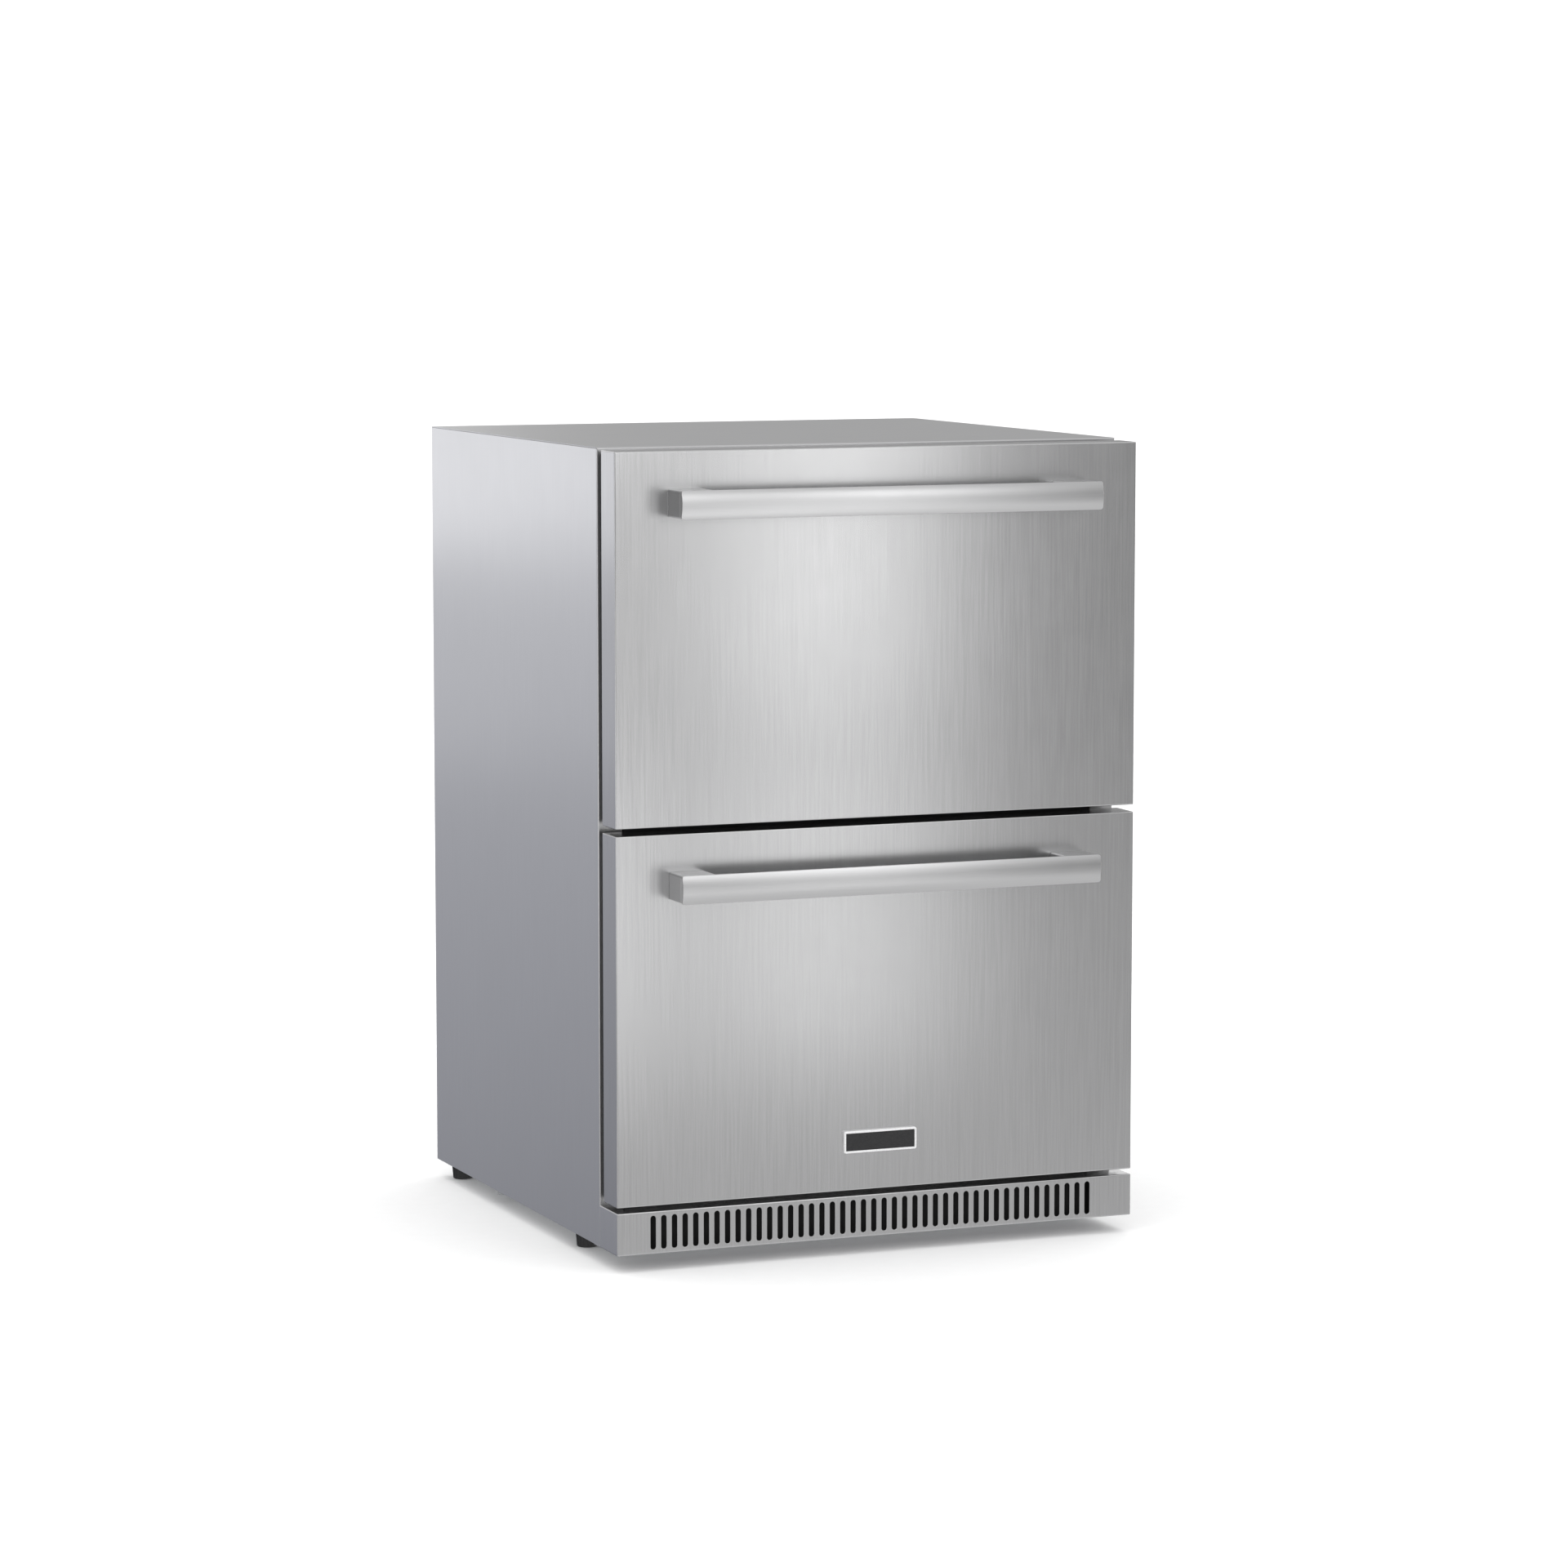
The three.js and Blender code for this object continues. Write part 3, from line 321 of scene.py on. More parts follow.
MATERIALS = {
    **{key: brushed(*settings) for key, settings in BRUSHED.items()},
    "galvanised": galvanised("galvanised", (0.56, 0.57, 0.58)),
    "slide_zinc": plated("slide_zinc", (0.64, 0.66, 0.68), 0.3),
    "liner": lining("liner_white", (0.82, 0.83, 0.83), 0.34),
    "foam": foam("foam_core", (0.78, 0.72, 0.5)),
    "black_plastic": moulded("black_plastic", (0.018, 0.018, 0.019), 0.5),
    "foot_black": moulded("foot_black", (0.012, 0.012, 0.012), 0.45, grain_mm=0.7),
    "grey_plastic": moulded("grey_plastic", (0.36, 0.37, 0.38), 0.45),
    "gasket": moulded("gasket_rubber", (0.035, 0.036, 0.04), 0.6, grain_mm=0.6, depth=0.02),
    "black_paint": enamel("black_paint", (0.012, 0.012, 0.013)),
    "coil": plated("coil_aluminium", (0.74, 0.75, 0.76), 0.34),
    "light": frosted("light_diffuser", (0.92, 0.94, 0.96), glow=(0.93, 0.97, 1.0), strength=7.0),
    "badge_metal": satin("badge_metal", (0.95, 0.95, 0.955), 0.3),
    "badge_field": leathered("badge_field", (0.026, 0.026, 0.028)),
    # Near-black for the toe grille's inner faces and the plate behind its slots: painted shade
    "slot_shade_black": moulded("slot_shade_black", (0.003, 0.003, 0.003), 0.75),
    "copper": plated("copper_tube", (0.72, 0.4, 0.28), 0.3),
    "key_gloss": moulded("key_gloss", (0.03, 0.031, 0.034), 0.22, grain_mm=0.8, depth=0.004),
    "screw": plated("screw_steel", (0.6, 0.61, 0.62), 0.28),
}


# ---------------------------------------------------------------- shapes
# Lengths in these helpers are metres. A plane is named by its two axes; the third is its depth.


def spot(plane, u, v, depth):
    return {"xz": (u, depth, v), "xy": (u, v, depth), "yz": (depth, u, v)}[plane]


def ring(plane, centre, half, radius, depth, steps=4):
    """A rounded rectangle in a plane, as 4 * (steps + 1) points."""
    radius = max(min(radius, *half), 1e-5)
    points = []
    for su, sv, start in ((1, 1, 0), (-1, 1, 90), (-1, -1, 180), (1, -1, 270)):
        for i in range(steps + 1):
            angle = math.radians(start + 90 * i / steps)
            u = centre[0] + su * (half[0] - radius) + radius * math.cos(angle)
            v = centre[1] + sv * (half[1] - radius) + radius * math.sin(angle)
            points.append(spot(plane, u, v, depth))
    return points


def circle(plane, centre, radius, depth, count):
    turn = 2 * math.pi / count
    return [
        spot(plane, centre[0] + radius * math.cos(i * turn), centre[1] + radius * math.sin(i * turn), depth)
        for i in range(count)
    ]


def arc(centre, radius, start, end, steps=4):
    """Points on an arc, by angle in degrees, both ends included."""
    angles = [math.radians(start + (end - start) * i / steps) for i in range(steps + 1)]
    return [(centre[0] + radius * math.cos(a), centre[1] + radius * math.sin(a)) for a in angles]


class Shape:
    """A mesh in the making: vertices and faces."""

    def __init__(self):
        self.vertices, self.faces = [], []

    def loft(self, rows, closed=False):
        """Joins rows of equally many points. closed joins the last row to the first."""
        base, count = len(self.vertices), len(rows[0])
        for row in rows:
            self.vertices.extend(row)
        pairs = [(i, i + 1) for i in range(len(rows) - 1)] + ([(len(rows) - 1, 0)] if closed else [])
        for a, b in pairs:
            for i in range(count):
                j = (i + 1) % count
                ring_a, ring_b = base + a * count, base + b * count
                self.faces.append([ring_a + i, ring_a + j, ring_b + j, ring_b + i])
        if not closed:
            self.faces.append([base + i for i in range(count)])
            self.faces.append([base + (len(rows) - 1) * count + i for i in range(count)])
        return self

    def pan(self, plane, centre, half, corner, profile, closed=False, steps=4):
        """A loft of rounded rectangles. profile holds (inset, depth) points."""
        rows = [
            ring(plane, centre, (half[0] - inset, half[1] - inset), corner - inset, depth, steps)
            for inset, depth in profile
        ]
        return self.loft(rows, closed)

    def slab(self, low, high, edge=0.4 * MM, steps=3, plane="xz", corner=None):
        """A block whose edges are all rounded."""
        axis = AXIS_ACROSS[plane]
        u, v = [i for i in range(3) if i != axis]
        centre = ((low[u] + high[u]) / 2, (low[v] + high[v]) / 2)
        half = ((high[u] - low[u]) / 2, (high[v] - low[v]) / 2)
        bend = rolled(edge, [90 * i / steps for i in range(steps + 1)])
        near = [(inset, low[axis] + depth) for inset, depth in bend]
        far = [(inset, low[axis] + high[axis] - depth) for inset, depth in reversed(near)]
        return self.pan(plane, centre, half, corner or edge, near + far, steps=steps)

    def turned(self, plane, centre, profile, count=48, closed=False):
        """A turned piece. profile holds (radius, depth) points."""
        rows = [circle(plane, centre, max(radius, 1e-5), depth, count) for radius, depth in profile]
        return self.loft(rows, closed)

    def folded(self, axis, outer, inner, ends):
        """Bent sheet: two matching open lines in the plane across axis, run from end to end.
        ends(a, b) gives the two positions along axis at a point of the section."""
        plane = {"X": "yz", "Y": "xz", "Z": "xy"}[axis]
        base, count = len(self.vertices), len(outer)
        for which in (0, 1):
            for line in (outer, inner):
                self.vertices.extend(spot(plane, a, b, ends(a, b)[which]) for a, b in line)

        def at(which, line, i):
            return base + (2 * which + line) * count + i

        for i in range(count - 1):
            for line in (0, 1):
                self.faces.append([at(0, line, i), at(0, line, i + 1), at(1, line, i + 1), at(1, line, i)])
            for which in (0, 1):
                corners = ((0, i), (0, i + 1), (1, i + 1), (1, i))
                self.faces.append([at(which, line, place) for line, place in corners])
        for i in (0, count - 1):
            self.faces.append([at(0, 0, i), at(1, 0, i), at(1, 1, i), at(0, 1, i)])
        return self

    def tube(self, points, radius, sides=10):
        """A round tube along points, closed at both ends."""
        path = [Vector(p) for p in points]
        rows, up = [], Vector((0, 0, 1))
        for i, point in enumerate(path):
            ahead = (path[min(i + 1, len(path) - 1)] - path[max(i - 1, 0)]).normalized()
            side = ahead.cross(up)
            if side.length < 0.2:
                side = ahead.cross(Vector((0, 1, 0)))
            side.normalize()
            up = side.cross(ahead).normalized()
            rows.append([
                tuple(point + radius * (math.cos(t) * side + math.sin(t) * up))
                for t in (2 * math.pi * k / sides for k in range(sides))
            ])
        return self.loft(rows)

    def object(self, name):
        mesh = bpy.data.meshes.new(name)
        mesh.from_pydata(self.vertices, [], self.faces)
        made = bmesh.new()
        made.from_mesh(mesh)
        bmesh.ops.remove_doubles(made, verts=made.verts, dist=1e-7)
        bmesh.ops.recalc_face_normals(made, faces=made.faces)
        made.to_mesh(mesh)
        made.free()
        thing = bpy.data.objects.new(name, mesh)
        bpy.context.scene.collection.objects.link(thing)
        return thing


def fillet(points, radius, steps=5):
    """Rounds the inner corners of an open line."""
    line = [points[0]]
    for before, corner, after in zip(points, points[1:], points[2:]):
        c = Vector(corner)
        a, b = (Vector(before) - c).normalized(), (Vector(after) - c).normalized()
        half = a.angle(b) / 2
        centre = c + (a + b).normalized() * (radius / math.sin(half))
        start, end = c + a * (radius / math.tan(half)), c + b * (radius / math.tan(half))
        first, last = start - centre, end - centre
        turn = first.angle_signed(last)
        base = math.atan2(first.y, first.x)
        for i in range(steps + 1):
            angle = base - turn * i / steps
            line.append((centre.x + radius * math.cos(angle), centre.y + radius * math.sin(angle)))
    line.append(points[-1])
    return line


def bent(points, inside, radius, thickness):
    """The outer and inner lines of a bent sheet, from the sharp corners of each."""
    return fillet(points, radius), fillet(inside, radius - thickness)


def smooth(thing, angle):
    thing.data.shade_smooth()
    thing.data.set_sharp_from_angle(angle=math.radians(angle))
    modifier = thing.modifiers.new("even_normals", "WEIGHTED_NORMAL")
    modifier.keep_sharp = True
    return thing


def rounded_edges(thing, width):
    modifier = thing.modifiers.new("edges", "BEVEL")
    modifier.width = width
    modifier.segments = 2
    modifier.limit_method = "ANGLE"
    modifier.angle_limit = math.radians(40)
    modifier.use_clamp_overlap = True
    return thing


def baked(thing):
    """Applies a piece's modifiers."""
    graph = bpy.context.evaluated_depsgraph_get()
    mesh = bpy.data.meshes.new_from_object(thing.evaluated_get(graph))
    thing.modifiers.clear()
    thing.data = mesh
    return thing


def cut_with(thing, tool):
    """Cuts a tool's solid out of a piece, and removes the tool."""
    modifier = thing.modifiers.new("cut", "BOOLEAN")
    modifier.operation = "DIFFERENCE"
    modifier.object = tool
    modifier.solver = "EXACT"
    baked(thing)
    bpy.data.objects.remove(tool)
    return thing


def settle(thing, materials, body, nodes=(), edges=0.0, angle=35):
    """Gives a piece its materials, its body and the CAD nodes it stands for."""
    for name in [materials] if isinstance(materials, str) else materials:
        thing.data.materials.append(MATERIALS[name])
    if edges:
        rounded_edges(thing, edges)
    smooth(thing, angle)
    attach(thing, body)
    if nodes:
        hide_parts(*nodes)
    return thing


def replace(shape, node, name, materials=None, edges=0.0, angle=35):
    """A new piece in place of one CAD node."""
    thing = shape if isinstance(shape, bpy.types.Object) else shape.object(name)
    slot = SLOT_OF[node]
    return settle(thing, materials or slot, BODY_OF[node], [node], edges, angle)


def add(shape, name, material, body="cabinet", edges=0.0, angle=35):
    """A new piece that no CAD node stands for."""
    return settle(shape.object(name), material, body, edges=edges, angle=angle)


def dress(node):
    """Keeps a CAD node, with rounded edges and its finish."""
    thing = frame["nodes"][node]
    thing.data.materials.clear()
    thing.data.materials.append(MATERIALS[SLOT_OF[node]])
    weld = thing.modifiers.new("weld", "WELD")
    weld.merge_threshold = 1e-6
    flat = thing.modifiers.new("flat", "DECIMATE")
    flat.decimate_type = "DISSOLVE"
    flat.angle_limit = math.radians(1)
    rounded_edges(thing, 0.4 * MM)
    thing.data.shade_smooth()
    thing.modifiers.new("even_normals", "WEIGHTED_NORMAL")
    return thing


def extent(*nodes):
    """The box of some CAD nodes, as two corners."""
    boxes = [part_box(node) for node in nodes]
    low = [min(b[0][i] for b in boxes) for i in range(3)]
    high = [max(b[1][i] for b in boxes) for i in range(3)]
    return low, high


def middle(low, high):
    return [(a + b) / 2 for a, b in zip(low, high)]


AXIS_ACROSS = {"yz": 0, "xz": 1, "xy": 2}


def flat(node, plane="xz"):
    """The box of a CAD node, with its middle and half size in a plane."""
    low, high = extent(node)
    u, v = [i for i in range(3) if i != AXIS_ACROSS[plane]]
    centre = ((low[u] + high[u]) / 2, (low[v] + high[v]) / 2)
    return low, high, centre, ((high[u] - low[u]) / 2, (high[v] - low[v]) / 2)


def from_face(base, points):
    """A profile given in millimetres, with its depths measured from base."""
    return [(inset * MM, base + depth * MM) for inset, depth in points]


def rolled(radius, angles):
    """Insets and depths round a quarter bend, from its flat side to its upright side."""
    turns = [math.radians(a) for a in angles]
    return [(radius * (1 - math.sin(a)), radius * (1 - math.cos(a))) for a in turns]


def quarter(radius):
    """Offsets along a quarter circle, from the first axis to the second."""
    return arc((0, 0), radius, 0, 90, 5)


# ---------------------------------------------------------------- the cabinet's shell

side_low, _ = extent("left_side_panel", "right_side_panel")
top_low, top_high = extent("top_panel")
skin_low, _ = extent("upper_front_skin")
X_SIDE, Y_FACE, Y_BACK, Z_TOP = top_high[0], top_low[1], top_high[1], top_high[2]
Z_BASE = side_low[2]
Y_SKIN = skin_low[1]
SHEET = 1.0 * MM
BEND = 1.6 * MM
FLANGE = Z_TOP - top_low[2]
REAR = Y_BACK - 0.4 * MM
REAR_FLANGE, REAR_TURN = 14 * MM, 12 * MM


def side_panel(word, side):
    """Folded sheet: front flange, side and rear flange. The front flange is mitred at its top."""
    outside = [(X_SIDE - FLANGE, Y_FACE), (X_SIDE, Y_FACE), (X_SIDE, REAR), (X_SIDE - REAR_FLANGE, REAR)]
    inside = [
        (X_SIDE - FLANGE, Y_FACE + SHEET),
        (X_SIDE - SHEET, Y_FACE + SHEET),
        (X_SIDE - SHEET, REAR - SHEET),
        (X_SIDE - REAR_FLANGE, REAR - SHEET),
    ]
    outer, inner = bent(outside, inside, BEND, SHEET)
    outer = [(side * x, y) for x, y in outer]
    inner = [(side * x, y) for x, y in inner]
    top = Z_TOP - 1.15 * MM

    def ends(x, y):
        mitre = X_SIDE - abs(x) if y < Y_FACE + 2 * SHEET else 0.0
        return Z_BASE, top - max(0.0, mitre - 0.6 * MM)

    shape = Shape().folded("Z", outer, inner, ends)
    replace(shape, f"{word}_side_panel", f"side_panel_{word}", ["side"], edges=0.25 * MM)


def top_panel():
    """Folded sheet: the top and its front flange, mitred at both ends, with a rear down-turn."""
    outside = [(Y_FACE, Z_TOP - FLANGE), (Y_FACE, Z_TOP), (REAR, Z_TOP), (REAR, Z_TOP - REAR_TURN)]
    inside = [
        (Y_FACE + SHEET, Z_TOP - FLANGE),
        (Y_FACE + SHEET, Z_TOP - SHEET),
        (REAR - SHEET, Z_TOP - SHEET),
        (REAR - SHEET, Z_TOP - REAR_TURN),
    ]
    outer, inner = bent(outside, inside, BEND, SHEET)

    def ends(y, z):
        drop = max(0.0, Z_TOP - z - 0.8 * MM)
        if y > Y_FACE + 2 * SHEET:
            drop = REAR_FLANGE + 0.5 * MM if z < Z_TOP - 1.05 * MM else 0.0
        return drop - X_SIDE, X_SIDE - drop

    shape = Shape().folded("X", outer, inner, ends)
    replace(shape, "top_panel", "top_panel_sheet", ["top"], edges=0.42 * MM)


def screw(shape, plane, centre, face, towards, radius=3.4 * MM, height=1.3 * MM):
    """A pan-head screw with a six-lobed drive, on a flat face."""
    socket = radius * 0.42
    head = [(radius, 0), (radius, 0.35), (radius * 0.9, 0.72), (radius * 0.68, 0.94)]
    drive = [(socket * 1.1, 1), (socket, 0.92), (socket * 0.95, 0.3)]
    rows = []
    for index, (r, share) in enumerate(head + drive):
        row = []
        for i in range(24):
            angle = 2 * math.pi * i / 24
            lobed = r * (1 - 0.16 * (1 + math.cos(6 * angle)) / 2) if index > len(head) else r
            u, v = centre[0] + lobed * math.cos(angle), centre[1] + lobed * math.sin(angle)
            row.append(spot(plane, u, v, face + towards * height * share))
        rows.append(row)
    shape.loft(rows)


def screw_set(name, centre, reach, places, face, towards=1):
    """Screws on an upright face, at shares of a reach from its centre."""
    shape = Shape()
    for x, z in places:
        screw(shape, "xz", (centre[0] + x * reach[0], centre[1] + z * reach[1]), face, towards)
    add(shape, name, "screw")


BACK_FACE = Y_BACK - 1.5 * MM
BACK_GAP = (2.5 * MM, 0.2 * MM)
BACK_EDGE = [(0, -1), (0, -0.3), (0.3, 0)]
SCREW_INSET = 12 * MM


def back_sheet(node, corner, profile):
    """A sheet on the back, with its middle and half size."""
    _, _, centre, half = flat(node)
    half = (half[0] - BACK_GAP[0], half[1] - BACK_GAP[1])
    shape = Shape().pan("xz", centre, half, corner, from_face(BACK_FACE, profile), steps=5)
    return shape, centre, half


def back_panel():
    """Pressed back sheet: a flat border, then a shallow pressed field with two stiffening ribs."""
    pressed = [(30, 0), (31.5, -0.4), (33.5, -1.5), (35, -1.8), (62, -1.8), (63.5, -1.5), (66, -0.3)]
    pressed += [(67.5, 0), (76, 0), (77.5, -0.3), (80, -1.5), (81.5, -1.8)]
    shape, centre, half = back_sheet("back_panel", 6 * MM, BACK_EDGE + pressed)
    replace(shape, "back_panel", "back_panel_sheet")
    places = [(x, z) for x in (-1, -0.34, 0.34, 1) for z in (-1, 1)]
    places += [(x, z) for z in (-0.5, 0, 0.5) for x in (-1, 1)]
    screw_set("back_screws", centre, (half[0] - SCREW_INSET, half[1] - 11 * MM), places, BACK_FACE)


def slot_tool(plane, places, half, depths, flare):
    """Rounded slots to cut, flared where they meet the first face."""
    tool = Shape()
    near, far = depths
    step = math.copysign(1, far - near)
    profile = [(flare, near - step * 1 * MM), (flare, near)]
    profile += [(grow, near + step * depth) for grow, depth in rolled(flare, (30, 60, 90))] + [(0.0, far)]
    for place in places:
        rows = []
        for grow, depth in profile:
            size = (half[0] + grow, half[1] + grow)
            rows.append(ring(plane, place, size, min(size), depth, 8))
        tool.loft(rows)
    return tool.object("slot_tool")


LOUVRE_COLUMNS = (-0.175, 0.0, 0.175)
LOUVRE_ROWS, LOUVRE_FIRST, LOUVRE_PITCH = 9, 99 * MM, 15 * MM
LOUVRE_HALF = (75 * MM, 3 * MM)


def rear_cover():
    """Machine compartment cover: louvre slots with vanes pressed inwards, and the cord's hole."""
    face = BACK_FACE
    shape, centre, half = back_sheet("rear_cover", 5 * MM, BACK_EDGE)
    cover = shape.object("rear_cover_sheet")
    places = [(x, LOUVRE_FIRST + row * LOUVRE_PITCH) for x in LOUVRE_COLUMNS for row in range(LOUVRE_ROWS)]
    cut_with(cover, slot_tool("xz", places, LOUVRE_HALF, (face, face - 3 * MM), 0.4 * MM))
    hole = flat("cord_grommet")[2]
    bore = Shape().turned("xz", hole, from_face(face, [(9.2, -3), (9.2, 1)]))
    cut_with(cover, bore.object("cord_bore"))
    replace(cover, "rear_cover", "rear_cover_sheet")
    vanes = Shape()
    reach = LOUVRE_HALF[0] - MM
    for x, z in places:
        section = [(face - d * MM, z + h * MM) for d, h in ((0.9, 3.4), (1.6, 2.9), (3.4, -0.6), (4.6, -3.6))]
        inner = [(y - 0.75 * MM, height + 0.3 * MM) for y, height in section]
        vanes.folded("X", section, inner, lambda y, h, x=x: (x - reach, x + reach))
    add(vanes, "rear_cover_vanes", "galvanised")
    places = [(x, z) for x in (-1, -0.335, 0.335, 1) for z in (-1, 1)]
    screw_set("rear_cover_screws", centre, (half[0] - SCREW_INSET, half[1] - 10 * MM), places, face)


def cord_grommet():
    """Moulded grommet with a flange and a skirt round an open bore."""
    outline = [(9.1, -4.5), (9.1, 0.02), (11.6, 0.02), (12.0, 0.35), (12.0, 0.9), (11.5, 1.35)]
    outline += [(9.0, 1.42), (6.4, 1.2), (4.6, 0.5), (4.2, -0.3), (4.2, -3.8), (5.2, -4.5)]
    centre = flat("cord_grommet")[2]
    shape = Shape().turned("xz", centre, from_face(BACK_FACE, outline), count=40, closed=True)
    replace(shape, "cord_grommet", "cord_grommet_ring")


GRILLE_SLOTS, GRILLE_PITCH, GRILLE_SHIFT = 43, 12 * MM, -6 * MM
GRILLE_WALL = 0.8 * MM


def toe_grille():
    """Folded grille box with rounded slots and its return under the cabinet. Its slot walls and inner faces,
    and a plate behind the slots, are near-black: painted shade.
    """
    low, high, centre, half = flat("toe_grille")
    y_open, y_wall = Y_FACE - 0.3 * MM, low[1] + GRILLE_WALL
    outside = [(inset, low[1] + depth) for inset, depth in rolled(1.3 * MM, (0, 22, 45, 68, 90))]
    profile = outside + [(0.0, y_open), (GRILLE_WALL, y_open), (GRILLE_WALL, y_wall)]
    grille = Shape().pan("xz", centre, half, 1.2 * MM, profile).object("toe_grille_box")
    shifts = [i - (GRILLE_SLOTS - 1) / 2 for i in range(GRILLE_SLOTS)]
    places = [(GRILLE_SHIFT + shift * GRILLE_PITCH, centre[1]) for shift in shifts]
    cut_with(grille, slot_tool("xz", places, (3 * MM, 18 * MM), (low[1], low[1] + 3 * MM), 0.3 * MM))
    # The slot walls and the box's inner faces take the near-black finish: painted shade inside the grille
    near = 0.01 * MM
    for polygon in grille.data.polygons:
        at, way = polygon.center, polygon.normal
        slot_side = low[1] + 0.35 * MM < at.y < y_wall + near and abs(at.x) < 0.27 and polygon.area < 1e-4
        box_inside = at.y > y_wall - near and way.y < -0.9
        box_back = at.y < low[1] + 2 * MM and way.y > 0.9
        end_inside = abs(abs(at.x) - (half[0] - GRILLE_WALL)) < 2 * near
        polygon.material_index = int(slot_side or box_inside or box_back or end_inside)
    replace(grille, "toe_grille", "toe_grille_box", ["stainless", "slot_shade_black"])
    near_edge = (low[0] + 0.2 * MM, y_open - 6 * MM, low[2])
    far_edge = (high[0] - 0.2 * MM, high[1], low[2] + 0.7 * MM)
    foot_plate = Shape().slab(near_edge, far_edge, 0.25 * MM, plane="xy")
    add(foot_plate, "toe_grille_return", "stainless")
    # A near-black plate behind the slots, where there is only shade: painted shade
    near_edge = (low[0] + 4 * MM, low[1] + 17 * MM, low[2] + 1.2 * MM)
    shade_plate = Shape().slab(near_edge, (high[0] - 4 * MM, low[1] + 18.5 * MM, high[2] - 1.2 * MM), 0.3 * MM)
    add(shade_plate, "toe_grille_shade_plate", "slot_shade_black")


FOOT_RIBS, FOOT_RIB_DEPTH, FOOT_SIDES = 24, 0.55, 120
THREAD_TURNS, THREAD_PITCH, THREAD_FOOT = 20, 1.25, 19.9


def foot(word):
    """Levelling foot: a tapered knob with grip ribs on a threaded stud."""
    _, high, centre, _ = flat(f"foot_{word}", "xy")
    profile = [(9.6, 0.0, 0), (10.9, 0.25, 0), (11.5, 0.9, 0), (11.65, 2.6, 0), (11.7, 3.2, 1)]
    profile += [(12.2, 9.0, 1), (12.9, 15.6, 1), (13.0, 16.3, 0), (13.25, 17.0, 0), (13.3, 18.6, 0)]
    profile += [(12.9, 19.4, 0), (12.0, 19.7, 0), (5.2, 19.7, 0)]
    rows = []
    for radius, height, ribbed in profile:
        row = []
        for i in range(FOOT_SIDES):
            angle = 2 * math.pi * i / FOOT_SIDES
            r = (radius - ribbed * FOOT_RIB_DEPTH * (0.5 + 0.5 * math.cos(FOOT_RIBS * angle))) * MM
            row.append((centre[0] + r * math.cos(angle), centre[1] + r * math.sin(angle), height * MM))
        rows.append(row)
    replace(Shape().loft(rows), f"foot_{word}", f"foot_{word}_knob")
    stud = [(4.2, 19.0)]
    turn = ((4.25, 0), (4.95, 0.4), (4.95, 0.6))
    for i in range(THREAD_TURNS):
        stud += [(r, THREAD_FOOT + (i + share) * THREAD_PITCH) for r, share in turn]
    stud += [(4.2, high[2] / MM - 0.9), (3.4, high[2] / MM)]
    thread = Shape().turned("xy", centre, from_face(0, stud), count=24)
    add(thread, f"foot_{word}_stud", "screw", body=f"foot_{word}", angle=25)


def drain_spout():
    """Short open spout with a rolled lip and a mounting collar."""
    low, high, centre, _ = flat("drain_spout", "xy")
    spout = from_face(low[2], [(5.6, 0), (7.0, 0), (7.7, 0.5), (7.8, 1.4), (7.3, 2.2)])
    spout += from_face(high[2], [(7.3, -2.6), (8.2, -2.1), (10.6, -2.0), (11.0, -1.5), (11.0, 0), (5.4, 0)])
    spout += from_face(low[2], [(5.4, 0.8)])
    shape = Shape().turned("xy", centre, spout, count=36, closed=True)
    replace(shape, "drain_spout", "drain_spout_tube")


for word, side in SIDES:
    side_panel(word, side)
top_panel()
back_panel()
rear_cover()
cord_grommet()
toe_grille()
for word in ("front_left", "front_right", "rear_left", "rear_right"):
    foot(word)
drain_spout()

# ---------------------------------------------------------------- the drawers


def front_skin(level):
    """Folded steel pan: face, four sides and a hem at the back."""
    node = f"{level}_front_skin"
    low, high, centre, half = flat(node)
    profile = [(inset, low[1] + depth) for inset, depth in rolled(1.3 * MM, range(0, 91, 15))]
    profile += [(inset, high[1] - depth) for depth, inset in rolled(0.9 * MM, (0, 22, 45, 68, 90))]
    profile += from_face(high[1], [(11, 0), (11.3, -0.2), (11.3, -1), (1, -1)]) + [(SHEET, low[1] + SHEET)]
    front = Shape().pan("xz", centre, half, 0.9 * MM, profile).object(f"{level}_drawer_front")
    # The left and right side faces take the darker copy of the steel: painted shade on the sides
    for polygon in front.data.polygons:
        polygon.material_index = int(abs(polygon.normal.x) > 0.97)
    replace(front, node, f"{level}_drawer_front", ["stainless", "edge"])


def inner_panel(level):
    """Formed lining of a drawer front, seated behind the hem, with a raised border."""
    node = f"{level}_inner_panel"
    low, _, centre, _ = flat(node)
    _, skin, _, half = flat(f"{level}_front_skin")
    formed = [(2, -1.3), (11.8, -1.3), (12.2, -0.4), (13, 0.1), (20, 0.1), (21, -0.3)]
    formed += [(23.5, -4.2), (25, -4.8), (33, -4.8), (34.5, -4.4), (36.5, -0.6), (38, -0.1)]
    profile = from_face(low[1], [(2, 0.3)]) + from_face(skin[1], formed)
    replace(Shape().pan("xz", centre, half, 14 * MM, profile, steps=6), node, f"{level}_front_lining")


